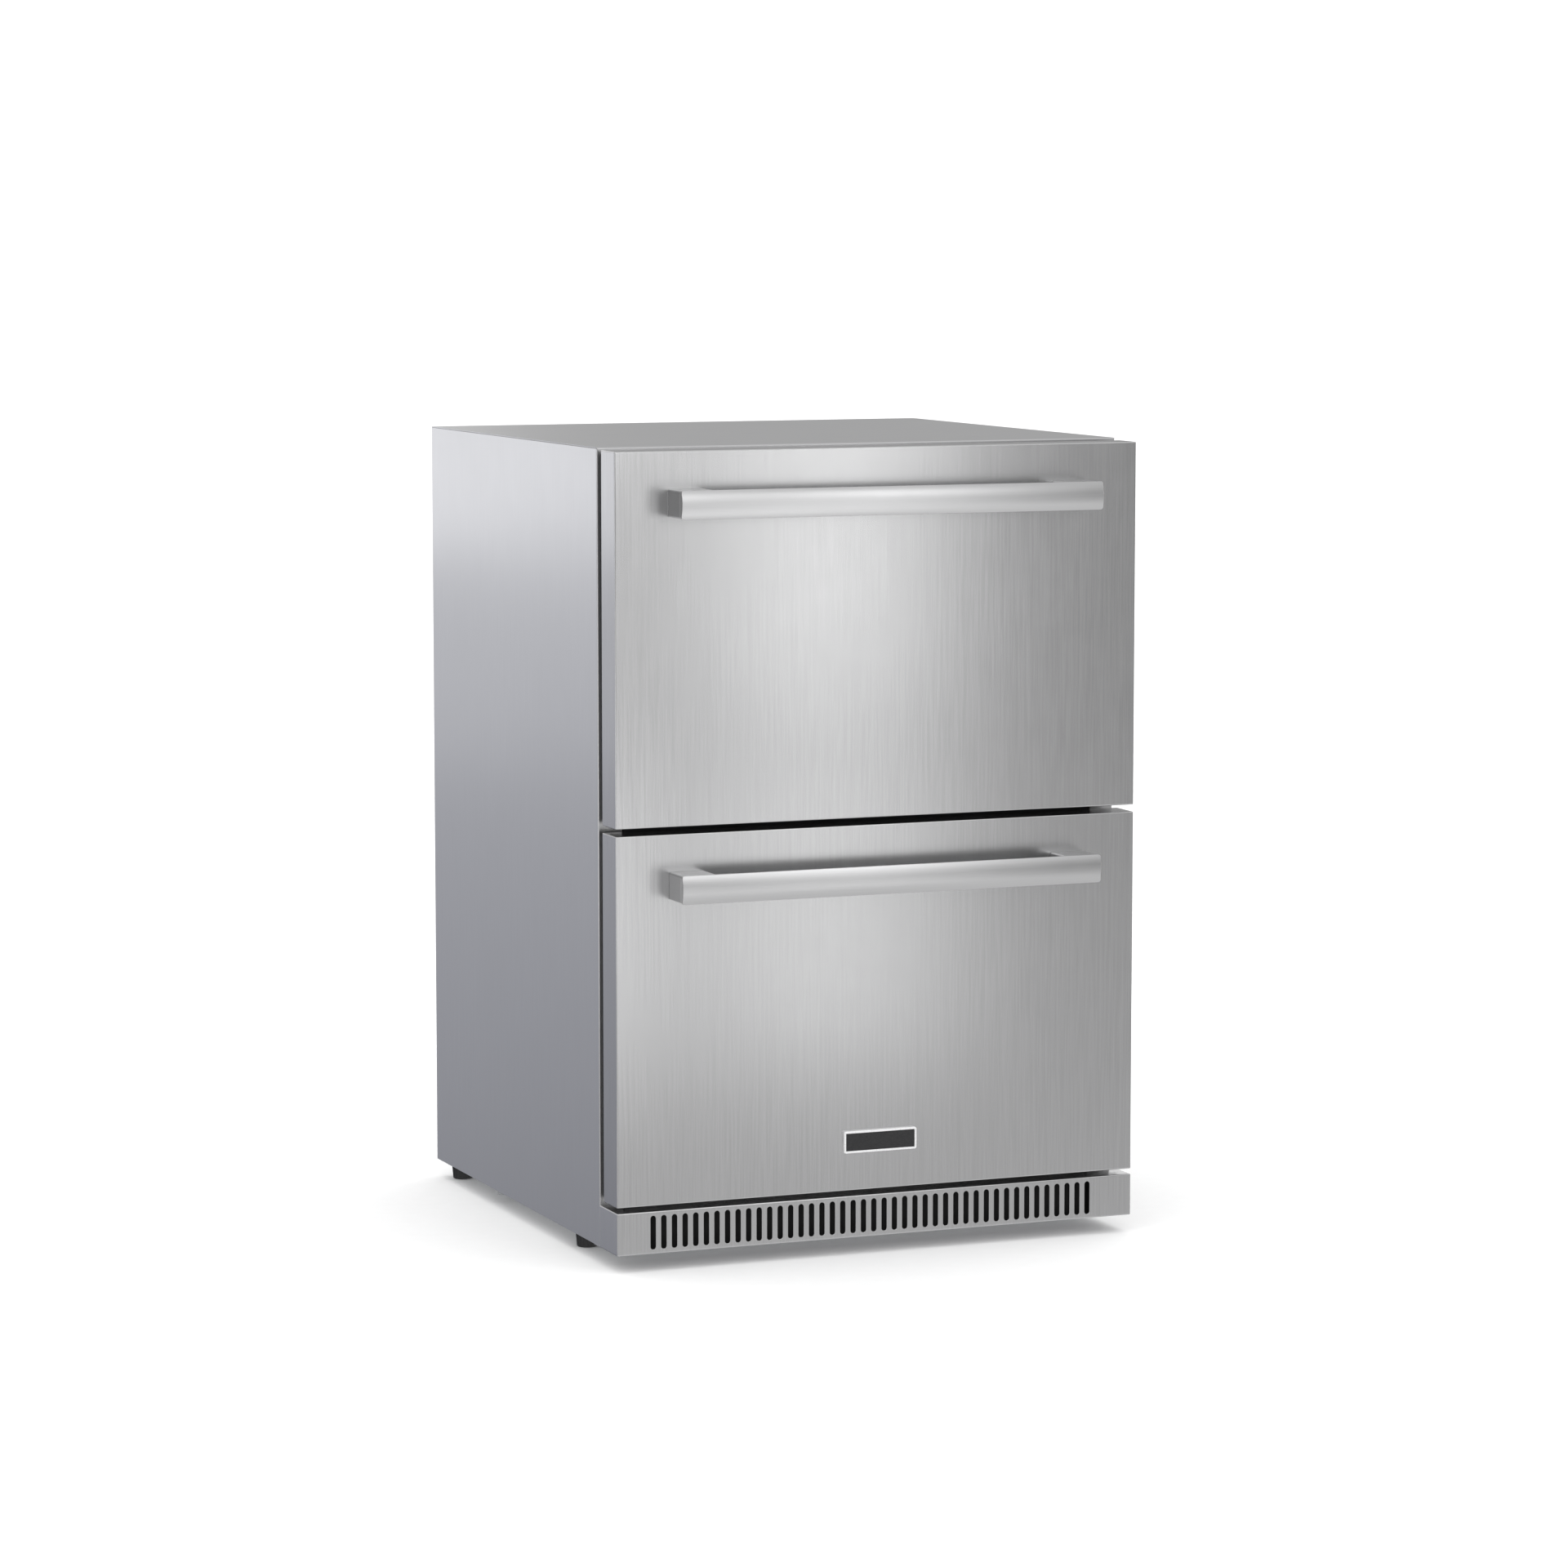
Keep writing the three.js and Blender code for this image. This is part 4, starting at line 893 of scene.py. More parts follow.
def gasket(level):
    """Magnetic seal: a hollow-looking bellows with a rounded magnet lip and a trailing fin."""
    node = f"{level}_gasket"
    low, high, centre, half = flat(node)
    outline = [(1.0, 0.0), (12.6, 0.0), (13.2, 0.6), (12.2, 2.0), (10.0, 3.4), (12.6, 5.2), (10.6, 7.0)]
    outline += [(13.4, 8.2), (14.0, 9.4), (14.0, 11.2), (13.0, 12.2), (8.0, 12.4), (1.4, 12.4)]
    outline += [(0.4, 11.8), (0.0, 10.6), (0.3, 9.2), (1.6, 8.4), (3.6, 7.2), (1.2, 5.6)]
    outline += [(3.8, 3.6), (1.4, 2.0), (0.5, 0.9)]
    reach = (high[1] - low[1]) / (12.4 * MM)
    profile = from_face(low[1], [(inset, depth * reach) for inset, depth in outline])
    shape = Shape().pan("xz", centre, half, 3 * MM, profile, closed=True)
    replace(shape, node, f"{level}_seal", angle=50)


SIX_TURNS = range(0, 91, 18)
RIB_COUNT, RIB_PITCH = 7, 62 * MM


def bin_tub(level):
    """Deep-drawn tub with rounded corners, stiffening ribs in its floor and a rolled rim."""
    node = f"{level}_bin"
    low, high, centre, half = flat(node, "xy")
    lip, wall, round_floor = 6 * MM, 1.2 * MM, 9 * MM
    z0, z1 = low[2], high[2]
    outside = [(lip + inset, z0 + depth) for inset, depth in rolled(round_floor, SIX_TURNS)]
    rim = from_face(z1, [(6, -3.4), (5.2, -2.6), (2, -2.6)])
    rim += arc((1.6 * MM, z1 - 1.5 * MM), 1.5 * MM, 250, 90, 7)
    rim += from_face(z1, [(5.4, 0), (6.4, -0.3), (7.2, -1.4)])
    bend = rolled(round_floor - wall, SIX_TURNS)
    inside = [(lip + wall + inset, z0 + wall + depth) for depth, inset in bend]
    shape = Shape().pan("xy", centre, half, 20 * MM, outside + rim + inside, steps=8)
    replace(shape, node, f"{level}_tub", ["bin"])
    ribs = Shape()
    length = half[1] - 40 * MM
    for i in range(RIB_COUNT):
        x = centre[0] + (i - (RIB_COUNT - 1) / 2) * RIB_PITCH
        section = from_face(z0 + wall, ((6.2, -0.3), (6.0, 0.1), (5.0, 0.7), (3.6, 1.15), (2.0, 1.35)))
        ribs.loft([ring("xy", (x, centre[1]), (w, length + w - 5 * MM), 5 * MM, z, 6) for w, z in section])
    add(ribs, f"{level}_tub_ribs", "bin", body=f"{level}_drawer")


def handle(level):
    """Crowned bar on two square posts."""
    node = f"{level}_handle_bar"
    low, high = extent(node)
    z, half, length = (low[2] + high[2]) / 2, (high[2] - low[2]) / 2, high[0]
    crown, corner, steps = 2.3 * MM, 2.6 * MM, 28
    rows = []
    ends = [depth for _, depth in rolled(corner, SIX_TURNS)]
    for x in [-length + e for e in ends] + [0.0] + [length - e for e in reversed(ends)]:
        into = min(corner, length - abs(x))
        height = half - corner + math.sqrt(max(0.0, corner ** 2 - (corner - into) ** 2))
        row = []
        for i in range(steps + 1):
            share = -1 + 2 * i / steps
            row.append((x, low[1] + crown * abs(share * height / half) ** 2.2, z + share * height))
        rows.append(row + [(x, high[1], z + height), (x, high[1], z - height)])
    replace(Shape().loft(rows), node, f"{level}_handle_plate", ["bar"], edges=0.45 * MM, angle=30)
    for word, _ in SIDES:
        node = f"{level}_handle_post_{word}"
        low, high, centre, size = flat(node)
        foot_end = [(0.5, 0), (0.12, 0.15), (0, 0.5), (0, 2.4), (0.32, 2.6), (0.32, 3), (0, 3.2)]
        profile = from_face(low[1], foot_end) + from_face(high[1], [(0, -0.7), (0.35, -0.3), (0.35, 0)])
        shape = Shape().pan("xz", centre, size, 2.4 * MM, profile, steps=6)
        replace(shape, node, f"{level}_post_{word}", angle=40)


def badge():
    """Bright rimmed frame with a recessed black field. The field carries a grain and no mark."""
    low, high, centre, half = flat("badge_frame")
    rim = [(0, 0.5), (0.15, 0.15), (0.5, 0), (1.9, 0), (2.18, 0.12), (2.3, 0.4), (2.3, 1.9)]
    profile = from_face(high[1], [(0.25, 0), (0, -0.3)]) + from_face(low[1], rim)
    replace(Shape().pan("xz", centre, half, 2.2 * MM, profile, steps=6), "badge_frame", "badge_rim")
    low, high, centre, half = flat("badge_field")
    half = (half[0] + 0.25 * MM, half[1] + 0.25 * MM)
    profile = [(0.0, high[1])] + from_face(low[1], [(0, 0.5), (0.2, 0.3), (1.0, 0.2), (1.6, 0.2)])
    replace(Shape().pan("xz", centre, half, 0.8 * MM, profile), "badge_field", "badge_grain")


for level in LEVELS:
    front_skin(level)
    inner_panel(level)
    gasket(level)
    bin_tub(level)
    handle(level)
badge()

# ---------------------------------------------------------------- the slides

SLIDE_WALL = 1.2 * MM


def slide_member(level, kind, word, side):
    """Cold-rolled channel. The middle one has a bead along its web and punched windows."""
    node = f"{level}_slide_{kind}_{word}"
    low, high = extent(node)
    reach = sorted((abs(low[0]), abs(high[0])))
    web, lip = reach if kind == "drawer" else reversed(reach)
    inward = math.copysign(1, lip - web)
    z, half = (low[2] + high[2]) / 2, (high[2] - low[2]) / 2
    bead = 1.0 * MM if kind == "middle" else 0.6 * MM

    def section(grow):
        """One face of the sheet, moved in by grow: lip, flange, beaded web, flange and lip."""
        x, tip, h = web + inward * grow, lip - inward * grow, half - grow
        ends = [] if kind == "drawer" else [(tip, -half + SLIDE_WALL + 3 * MM)]
        corners = [(lip if kind == "drawer" else tip, -h), (x, -h)]
        line = ends + corners + [(x, -9.5 * MM), (x + inward * bead, -8 * MM)]
        return [(side * a, z + b) for a, b in line] + [(side * a, z - b) for a, b in reversed(line)]

    outer, inner = bent(section(0), section(SLIDE_WALL), 1.7 * MM, SLIDE_WALL)
    member = Shape().folded("Y", outer, inner, lambda a, b: (low[1], high[1])).object(f"{node}_rail")
    if kind == "middle":
        face = side * (web + inward * bead)
        places = [((low[1] + high[1]) / 2 + i * 62 * MM, z) for i in (-2.9, -1.5, 0, 1.5, 2.9)]
        cut_with(member, slot_tool("yz", places, (9 * MM, 3 * MM), (face, face - side * 3 * MM), 0.3 * MM))
    replace(member, node, f"{node}_rail", edges=0.2 * MM, angle=50)
    return side * (web + inward * (SLIDE_WALL + bead)), z


def slides(level):
    screws = Shape()
    for word, side in SIDES:
        slide_member(level, "cabinet", word, side)
        slide_member(level, "middle", word, side)
        face, z = slide_member(level, "drawer", word, side)
        for y in (-0.2, -0.1, 0.03):
            screw(screws, "yz", (y, z), face - side * 0.1 * MM, side, radius=4.2 * MM)
    add(screws, f"{level}_slide_screws", "screw", body=f"{level}_drawer")


for level in LEVELS:
    slides(level)

# ---------------------------------------------------------------- the machinery


def rotor(node, name, radius, hub, blades=5, steps=8):
    """Fan with cambered, twisted blades on a capped hub, turning round an axis along Y."""
    low, high = extent(node)
    c = middle(low, high)
    half = min(9 * MM, (high[1] - low[1]) / 2 - 0.5 * MM)
    profile = [(hub - 3 * MM, c[1] + half - 1 * MM), (hub, c[1] + half), (hub, c[1] - half + 2 * MM)]
    profile += [(hub - 2 * MM + a, c[1] - half + 2 * MM - b) for a, b in quarter(2 * MM)[1:]]
    shape = Shape().turned("xz", (c[0], c[2]), profile)
    root = hub - 1.5 * MM
    for index in range(blades):
        turn = 2 * math.pi * index / blades
        rows = []
        for share in (step / steps for step in range(steps + 1)):
            r = root + (radius - root) * share
            chord = radius * (0.5 + 0.34 * share - 0.22 * share ** 4)
            pitch = math.radians(36 - 14 * share)
            line = []
            for face in (1, -1):
                for k in range(steps + 1):
                    s = (k / steps - 0.5) * face
                    bulge = 0.07 * chord * (1 - 4 * s * s)
                    across = bulge + face * 0.9 * MM * math.sqrt(max(0.02, 1 - 4 * s * s))
                    t = s * chord * math.cos(pitch) - across * math.sin(pitch)
                    y = s * chord * math.sin(pitch) + across * math.cos(pitch)
                    angle = turn + t / r
                    line.append((c[0] + r * math.cos(angle), c[1] + y, c[2] + r * math.sin(angle)))
            rows.append(line)
        shape.loft(rows)
    replace(shape, node, name)


def motor(node, name, radius, arms, can):
    """Motor can with rounded ends, a rear boss and arms that reach the frame round it."""
    low, high = extent(node)
    c = middle(low, high)
    y0, y1 = can
    inner, seam = radius - 3 * MM, (y0 + y1) / 2
    profile = [(3 * MM, y0 - 0.1 * MM), (inner, y0)]
    profile += [(inner + b, y0 + 3 * MM - a) for a, b in quarter(3 * MM)]
    profile += [(radius, seam - 1 * MM), (radius + 1 * MM, seam), (radius, seam + 1 * MM)]
    profile += [(inner + a, y1 - 3 * MM + b) for a, b in quarter(3 * MM)]
    shape = Shape().turned("xz", (c[0], c[2]), profile, count=56)
    reach = (high[0] - low[0]) / 2
    for dx, dz in ((reach, 4 * MM), (4 * MM, reach)):
        near, far = (c[0] - dx, arms[0], c[2] - dz), (c[0] + dx, arms[1], c[2] + dz)
        shape.slab(near, far, edge=0.5 * MM, corner=2 * MM)
    replace(shape, node, name)


def finned(node, name, core, pitch, rows, radius):
    """Plate fins on hairpin tubes, between two end plates."""
    (x0, y0, z0), (x1, y1, z1) = core
    shape = Shape()
    corners = ((y0, z0), (y1, z0), (y1, z1), (y0, z1))
    count = int((x1 - x0) / pitch)
    for i in range(1, count):
        x = x0 + (x1 - x0) * i / count
        shape.loft([[(x + d, y, z) for y, z in corners] for d in (-0.1 * MM, 0.1 * MM)])
    for x in (x0, x1 - 1.2 * MM):
        shape.slab((x, y0, z0), (x + 1.2 * MM, y1, z1), edge=0.3 * MM, plane="yz")
    depth = (y1 - y0) / 2 - radius - 4 * MM
    mid = (y0 + y1) / 2
    half_turn = [math.pi * i / 10 for i in range(11)]
    for row in range(rows):
        z = z0 + (row + 0.5) * (z1 - z0) / rows
        for side, x in ((-1, x0), (1, x1)):
            turn = [(x + side * 8 * MM * math.sin(a), mid - depth * math.cos(a), z) for a in half_turn]
            start, end = (x - side * 6 * MM, mid - depth, z), (x - side * 6 * MM, mid + depth, z)
            shape.tube([start] + turn + [end], radius, sides=12)
        for y in (mid - depth, mid + depth):
            shape.tube([(x0, y, z), (x1, y, z)], radius, sides=12)
    replace(shape, node, name)


COMPRESSOR_Y = 205 * MM
SUCTION_PIPE = [(-70, 215, 112), (-48, 215, 112), (-34, 212, 113), (-26, 200, 115), (-21, 175, 118)]
SUCTION_PIPE += [(-19, 140, 121), (-17, 124, 122), (-9, 114, 122)]
PROCESS_PIPE = [(-140, 274, 92), (-140, 284, 93), (-139, 290, 97), (-138, 292, 112)]


def compressor():
    """Welded two-piece dome on a plate, on four rubber mounts, with its copper pipes."""
    low, high = extent("compressor")
    x, y = (low[0] + high[0]) / 2, COMPRESSOR_Y
    outline = [(1, 36), (34, 36.6), (52, 41), (63, 49), (69, 60), (71.4, 74), (72, 88), (72, 103)]
    outline += [(75, 104), (75, 109), (72, 110), (71.6, 126), (69.5, 140), (64, 153), (54, 164)]
    outline += [(40, 171.5), (22, 176.5), (6, 178)]
    shape = Shape().turned("xy", (x, y), from_face(0, outline), count=72)
    near, far = (low[0], y - 60 * MM, 35 * MM), (high[0], y + 60 * MM, 39 * MM)
    shape.slab(near, far, edge=0.9 * MM, plane="xy", corner=16 * MM)
    replace(shape, "compressor", "compressor_dome")
    mounts = Shape()
    mount = [(9, 21.4), (10.6, 22.4), (10.8, 26.4), (9, 28), (9, 29.6), (10.8, 31.2), (10.6, 34), (9.6, 34.9)]
    stud = [(4.4, 38.8), (4.4, 43.4), (3.6, 44.2)]
    for centre in [(x + dx * MM, y + dy * MM) for dx in (-78, 78) for dy in (-48, 48)]:
        mounts.turned("xy", centre, from_face(0, mount), count=28)
        mounts.turned("xy", centre, from_face(0, stud), count=6)
    add(mounts, "compressor_mounts", "gasket")
    pipes = Shape()
    for route in (SUCTION_PIPE, PROCESS_PIPE):
        pipes.tube([point * MM for point in fine_route(route)], 3.2 * MM, sides=14)
    add(pipes, "compressor_pipes", "copper")


def fine_route(points, steps=5):
    """A Catmull-Rom curve through points."""
    p = [Vector(q) for q in points[:1] + points + points[-1:]]
    line = []
    for a, b, c, d in zip(p, p[1:], p[2:], p[3:]):
        for t in (i / steps for i in range(steps)):
            bend = (2 * a - 5 * b + 4 * c - d) * t * t + (3 * b - a - 3 * c + d) * t ** 3
            line.append(0.5 * (2 * b + (c - a) * t + bend))
    return line + [p[-1]]


SHROUD_MOUTH = 84 * MM


def fan_shroud():
    """Moulded plenum with a round bell mouth."""
    low, high, centre, half = flat("fan_shroud")
    wall, bend, y0, y1 = 2 * MM, 4 * MM, low[1], high[1]
    outside = [(0.0, y0)] + [(bend - a, y1 - bend + b) for a, b in quarter(bend)]
    inside = [(bend + wall, y1 - wall), (wall, y1 - bend), (wall, y0)]
    shroud = Shape().pan("xz", centre, half, 8 * MM, outside + inside).object("fan_shroud_box")
    bore = Shape().turned("xz", centre, [(SHROUD_MOUTH, y1 - 4 * MM), (SHROUD_MOUTH, y1 + 2 * MM)], count=72)
    cut_with(shroud, bore.object("mouth_tool"))
    replace(shroud, "fan_shroud", "fan_shroud_box")
    bell = from_face(y1, [(-0.2, -8), (1.3, -8), (1.6, -2.1), (0.3, -0.5), (-0.2, -1.5)])
    lip = Shape().turned("xz", centre, [(SHROUD_MOUTH + r, y) for r, y in bell], count=72, closed=True)
    add(lip, "fan_shroud_mouth", "black_plastic")


FAN_OPENING = 46 * MM
RETURN_SLOTS = [((-187 + i * 17) * MM, 548 * MM) for i in range(23)]
GUARD_RINGS = (10, 19, 28, 37, 45.6)
EIGHTHS = [math.pi * i / 4 for i in range(8)]


def evaporator_cover():
    """Moulded cover with a round fan grille and a row of return slots."""
    low, high, centre, half = flat("evaporator_cover")
    y0, y1, wall, bend = low[1], high[1], 2 * MM, 9 * MM
    outside = [(0.0, y1)] + [(bend - a, y0 + bend - b) for a, b in quarter(bend)]
    inside = [(bend, y0 + wall), (wall + 2 * MM, y0 + 4 * MM), (wall, y0 + bend), (wall, y1)]
    cover = Shape().pan("xz", centre, half, 14 * MM, outside + inside, steps=6)
    cover = cover.object("evaporator_cover_shell")
    fan = flat("evaporator_fan")[2]
    bore = Shape().turned("xz", fan, [(FAN_OPENING, y0 - 2 * MM), (FAN_OPENING, y0 + 4 * MM)], count=64)
    cut_with(cover, bore.object("opening_tool"))
    cut_with(cover, slot_tool("xz", RETURN_SLOTS, (3.2 * MM, 14 * MM), (y0, y0 + 4 * MM), 0.5 * MM))
    replace(cover, "evaporator_cover", "evaporator_cover_shell")
    grille = Shape()
    for radius in GUARD_RINGS:
        section = from_face(y0, [(radius + 1.1 * math.cos(a), 1.6 + 1.2 * math.sin(a)) for a in EIGHTHS])
        grille.turned("xz", fan, section, count=56, closed=True)
    for a in EIGHTHS:
        x, z = math.cos(a), math.sin(a)
        ends = [(fan[0] + r * x, y0 + 2.2 * MM, fan[1] + r * z) for r in (8 * MM, FAN_OPENING)]
        grille.tube(ends, 1.2 * MM, sides=8)
    grille.turned("xz", fan, from_face(y0, [(9.6, 2.6), (9.2, 0.5), (6, -0.1), (1, -0.2)]), count=40)
    add(grille, "evaporator_grille", "liner")
    reach = (half[0] - 18 * MM, half[1] - 18 * MM)
    places = [(x, z) for x in (-1, 1) for z in (-1, 1)]
    screw_set("evaporator_screws", centre, reach, places, y0 + 0.05 * MM, -1)


def control_panel():
    """Controls on the panel's front chamfer: a dark display and four push keys, unmarked."""
    low, high = extent("control_panel")
    slope = Vector((0, 8, -12)).normalized()
    out = Vector((0, -12, -8)).normalized()
    chamfer = Vector((0, low[1] + 4 * MM, high[2] - 14 * MM))
    details = Shape()

    def button(x, half_x, half_s, lift, corner):
        rows = []
        for inset, height in ((0, -0.3), (0, 0.5 * lift), (0.12, 0.85 * lift), (0.4, lift)):
            edge = ring("xy", (x, 0), (half_x - inset * MM, half_s - inset * MM), corner, 0)
            lifted = out * (height * MM)
            rows.append([tuple(chamfer + Vector((u, 0, 0)) + slope * v + lifted) for u, v, _ in edge])
        details.loft(rows)

    button(0.0, 26 * MM, 4.4 * MM, 0.5, 1.5 * MM)
    for x in (-74, -56, 56, 74):
        button(x * MM, 6 * MM, 3.2 * MM, 0.9, 3 * MM)
    add(details, "control_keys", "key_gloss")


def light_lens(count=7, pitch=4 * MM):
    """Ribs along the diffuser of the compartment light."""
    low, high = extent("light_cover")
    ribs = Shape()
    for i in range(count):
        y = (low[1] + high[1]) / 2 + (i - count // 2) * pitch
        ribs.tube([(low[0] + 8 * MM, y, low[2]), (high[0] - 8 * MM, y, low[2])], 0.8 * MM)
    add(ribs, "light_ribs", "light")


def cover_seam():
    """The back sheet's lower edge, joggled behind the machine compartment cover."""
    low, high = extent("rear_cover")
    near = (low[0] + 4 * MM, BACK_FACE - 2.2 * MM, high[2] - 9 * MM)
    far = (high[0] - 4 * MM, BACK_FACE - 1.2 * MM, high[2] + 11 * MM)
    add(Shape().slab(near, far, edge=0.3 * MM), "back_seam", "galvanised")


CONDENSER_CORE = ((0.005, 0.106, 0.036), (0.245, 0.138, 0.22))
EVAPORATOR_CORE = ((-0.196, 0.232, 0.57), (0.051, 0.2617, 0.786))

rotor("condenser_fan", "condenser_fan_rotor", 78 * MM, 20 * MM)
rotor("evaporator_fan", "evaporator_fan_rotor", 44 * MM, 14 * MM)
motor("condenser_fan_motor", "condenser_motor", 28 * MM, (0.1963, 0.1983), (0.183, 0.23))
motor("evaporator_fan_motor", "evaporator_motor", 17 * MM, (0.258, 0.262), (0.243, 0.262))
finned("condenser_coil", "condenser_fins", CONDENSER_CORE, 3.2 * MM, 6, 3.5 * MM)
finned("evaporator_coil", "evaporator_fins", EVAPORATOR_CORE, 6 * MM, 5, 4 * MM)
compressor()
fan_shroud()
evaporator_cover()
control_panel()
light_lens()
cover_seam()

# ---------------------------------------------------------------- nodes that stay as the frame has them

for name in frame["nodes"]:
    if not frame["nodes"][name].hide_render:
        dress(name)

# ---------------------------------------------------------------- floor, light and camera


def floor_finish():
    f = Finish("floor_pale")
    speck = f.noise(60.0, detail=4.0)
    colour = f.blend(f.spread(speck, 0, 1), (0.93, 0.93, 0.93), (0.95, 0.95, 0.95))
    return f.dressed(colour, f.spread(speck, 0.85, 0.95))


def floor():
    mesh = bpy.data.meshes.new("floor")
    r = 40.0
    mesh.from_pydata([(-r, -r, 0), (r, -r, 0), (r, r, 0), (-r, r, 0)], [], [(0, 1, 2, 3)])
    thing = bpy.data.objects.new("floor", mesh)
    mesh.materials.append(floor_finish())
    bpy.context.scene.collection.objects.link(thing)
    thing.visible_glossy = False


floor()

# Upright soft strips in front, which the drawer fronts mirror: the point on the fronts across
# from each, and its watts low, at mid height and high
STRIP_GAP = 1.2
STRIP_SLANT = 0.405
STRIP_WATTS = {-0.45: (0.3, 0.15, 1.0), -0.13: (0.15, 0.22, 0.05), 0.02: (0.18, 0.25, 0.66)}
STRIP_HEIGHTS = (0.2, 0.66, 1.10)
# Soft cards behind and to the left, which the left side mirrors: height, depth of card, watts
SIDE_CARDS = ((0.48, 0.3, 0.18), (0.78, 0.3, 0.76))
# Plain soft boxes: place, the point it faces, width, height, watts
SOFT_BOXES = {
    "left_box": ((-2.4, -0.9, 0.75), (-0.3, -0.25, 0.6), 0.7, 1.4, 5.0),
    "rear_box": ((-0.3, 2.3, 1.75), (-0.2, 0.1, 0.87), 1.6, 0.6, 3.0),
    "right_box": ((1.35, 0.85, 0.42), (0.3, 0.0, 0.55), 0.5, 0.5, 0.4),
    "back_box": ((1.05, 1.45, 0.3), (0.0, 0.32, 0.5), 0.5, 0.4, 0.75),
    "low_box": ((-1.1, -1.4, 0.3), (0.0, -0.28, 0.5), 0.4, 0.4, 0.7),
}


def area_light(name, place, target, width, height, watts):
    data = bpy.data.lights.new(name, "AREA")
    data.shape = "RECTANGLE"
    data.size, data.size_y = width, height
    data.energy = watts
    thing = bpy.data.objects.new(name, data)
    thing.location = place
    thing.rotation_mode = "QUATERNION"
    thing.rotation_quaternion = (Vector(target) - Vector(place)).to_track_quat("-Z", "Y")
    thing.visible_camera = False
    bpy.context.scene.collection.objects.link(thing)


def lights():
    for index, (x, watts) in enumerate(STRIP_WATTS.items()):
        for level, (height, power) in enumerate(zip(STRIP_HEIGHTS, watts)):
            place = (x + STRIP_SLANT * STRIP_GAP, Y_SKIN - STRIP_GAP, height)
            target = (x, Y_SKIN, min(height, 0.9))
            area_light(f"strip_{index}_{level}", place, target, 0.16, 0.42, power)
    for index, (height, size, power) in enumerate(SIDE_CARDS):
        area_light(f"side_card_{index}", (-0.9, 1.53, height), (-0.3, 0.05, height), 1.2, size, power)
    for name, setting in SOFT_BOXES.items():
        area_light(name, *setting)


lights()


# What the steel mirrors, by the height of a direction: before the object, behind it to the left
# and behind it to the right
STUDIO = {
    "front": [
        (-1.0, 0.7),
        (-0.3, 0.84),
        (-0.1, 0.27),
        (0.1, 0.22),
        (0.4, 0.68),
        (1.0, 0.9),
    ],
    "back_left": [
        (-1.0, (0.08, 0.085, 0.1)),
        (-0.3, (0.08, 0.085, 0.11)),
        (-0.1, (0.58, 0.59, 0.64)),
        (0.1, (0.5, 0.5, 0.51)),
        (0.4, 0.36),
        (1.0, 0.9),
    ],
    "back_right": [
        (-1.0, (0.6, 0.6, 0.605)),
        (-0.35, (0.5, 0.5, 0.505)),
        (-0.1, (0.38, 0.38, 0.385)),
        (0.1, 0.3),
        (0.4, 0.48),
        (1.0, 0.9),
    ],
}
WHITE_STRENGTH = 1.3
# What lights the dull surfaces, from the horizon up to overhead
SKY = (0.25, 1.9)


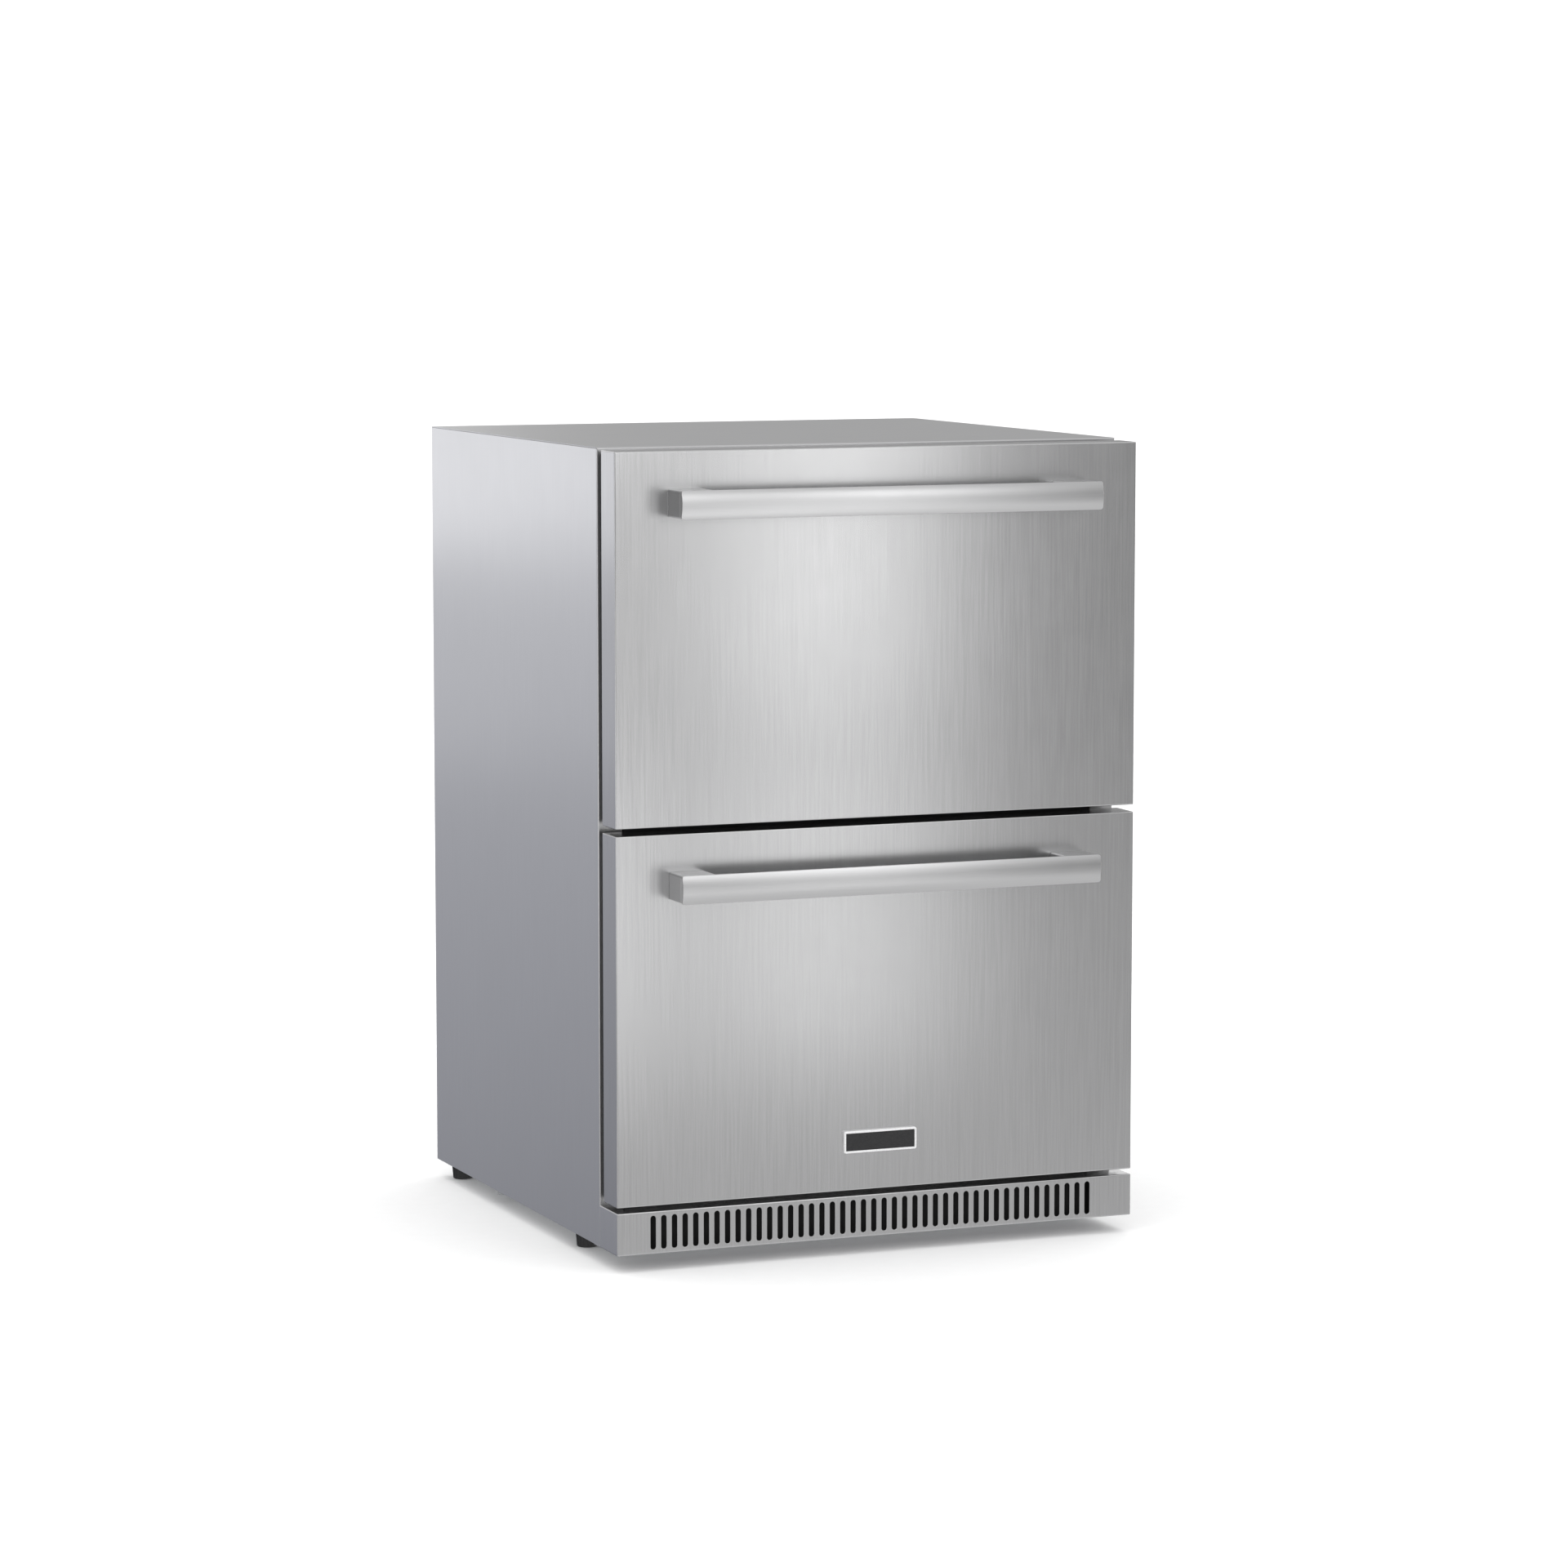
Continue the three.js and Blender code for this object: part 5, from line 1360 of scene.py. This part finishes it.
def world():
    """White behind everything, with a soft studio for the steel to mirror."""
    made = bpy.data.worlds.new("studio")
    bpy.context.scene.world = made
    made.use_nodes = True
    tree = made.node_tree
    tree.nodes.clear()
    new, link = tree.nodes.new, tree.links.new
    direction = new("ShaderNodeSeparateXYZ")
    link(new("ShaderNodeTexCoord").outputs["Generated"], direction.inputs["Vector"])
    height = new("ShaderNodeMapRange")
    height.inputs["From Min"].default_value = -1.0
    link(direction.outputs["Z"], height.inputs["Value"])
    colours = {}
    for label, stops in STUDIO.items():
        ramp = new("ShaderNodeValToRGB")
        ramp.label = label
        elements = ramp.color_ramp.elements
        for i, (level, colour) in enumerate(stops):
            element = elements[i] if i < 2 else elements.new(1.0)
            element.position = (level + 1) / 2
            element.color = (*colour, 1) if isinstance(colour, tuple) else (colour, colour, colour, 1)
        link(height.outputs["Result"], ramp.inputs["Fac"])
        colours[label] = ramp.outputs["Color"]

    def turned(axis, low, high, before, after):
        """Blends two colours as a direction turns along an axis."""
        turn = new("ShaderNodeMapRange")
        turn.interpolation_type = "SMOOTHSTEP"
        turn.inputs["From Min"].default_value = low
        turn.inputs["From Max"].default_value = high
        link(direction.outputs[axis], turn.inputs["Value"])
        made = new("ShaderNodeMix")
        made.data_type = "RGBA"
        link(turn.outputs["Result"], made.inputs["Factor"])
        link(before, made.inputs[6])
        link(after, made.inputs[7])
        return made.outputs[2]

    back = turned("X", -0.15, 0.25, colours["back_left"], colours["back_right"])
    around = turned("Y", -0.35, 0.35, colours["front"], back)
    white, studio = new("ShaderNodeBackground"), new("ShaderNodeBackground")
    white.label, studio.label = "white", "studio"
    white.inputs["Color"].default_value = (1, 1, 1, 1)
    link(around, studio.inputs["Color"])
    path, mix, out = new("ShaderNodeLightPath"), new("ShaderNodeMixShader"), new("ShaderNodeOutputWorld")
    overhead = new("ShaderNodeMapRange")
    overhead.inputs["To Min"].default_value, overhead.inputs["To Max"].default_value = SKY
    link(direction.outputs["Z"], overhead.inputs["Value"])
    seen = new("ShaderNodeMix")
    seen.inputs[3].default_value = WHITE_STRENGTH
    link(path.outputs["Is Camera Ray"], seen.inputs[0])
    link(overhead.outputs["Result"], seen.inputs[2])
    link(seen.outputs[0], white.inputs["Strength"])
    link(path.outputs["Is Glossy Ray"], mix.inputs["Fac"])
    link(white.outputs["Background"], mix.inputs[1])
    link(studio.outputs["Background"], mix.inputs[2])
    link(mix.outputs["Shader"], out.inputs["Surface"])
    made.cycles.sampling_method = "NONE"


world()

CAMERA_PLACE = (-2.1359, -5.24173, 1.11924)
CAMERA_YAW, CAMERA_PITCH, CAMERA_LENS = -22.2042, 6.4853, 117.896


def camera():
    data = bpy.data.cameras.new("camera")
    data.sensor_width = 36.0
    data.lens = CAMERA_LENS
    data.clip_start, data.clip_end = 0.05, 200.0
    thing = bpy.data.objects.new("camera", data)
    thing.location = CAMERA_PLACE
    thing.rotation_euler = (math.radians(90 - CAMERA_PITCH), 0, math.radians(CAMERA_YAW))
    bpy.context.scene.collection.objects.link(thing)
    bpy.context.scene.camera = thing


camera()
bpy.context.scene.view_settings.view_transform = "Standard"
bpy.context.view_layer.update()
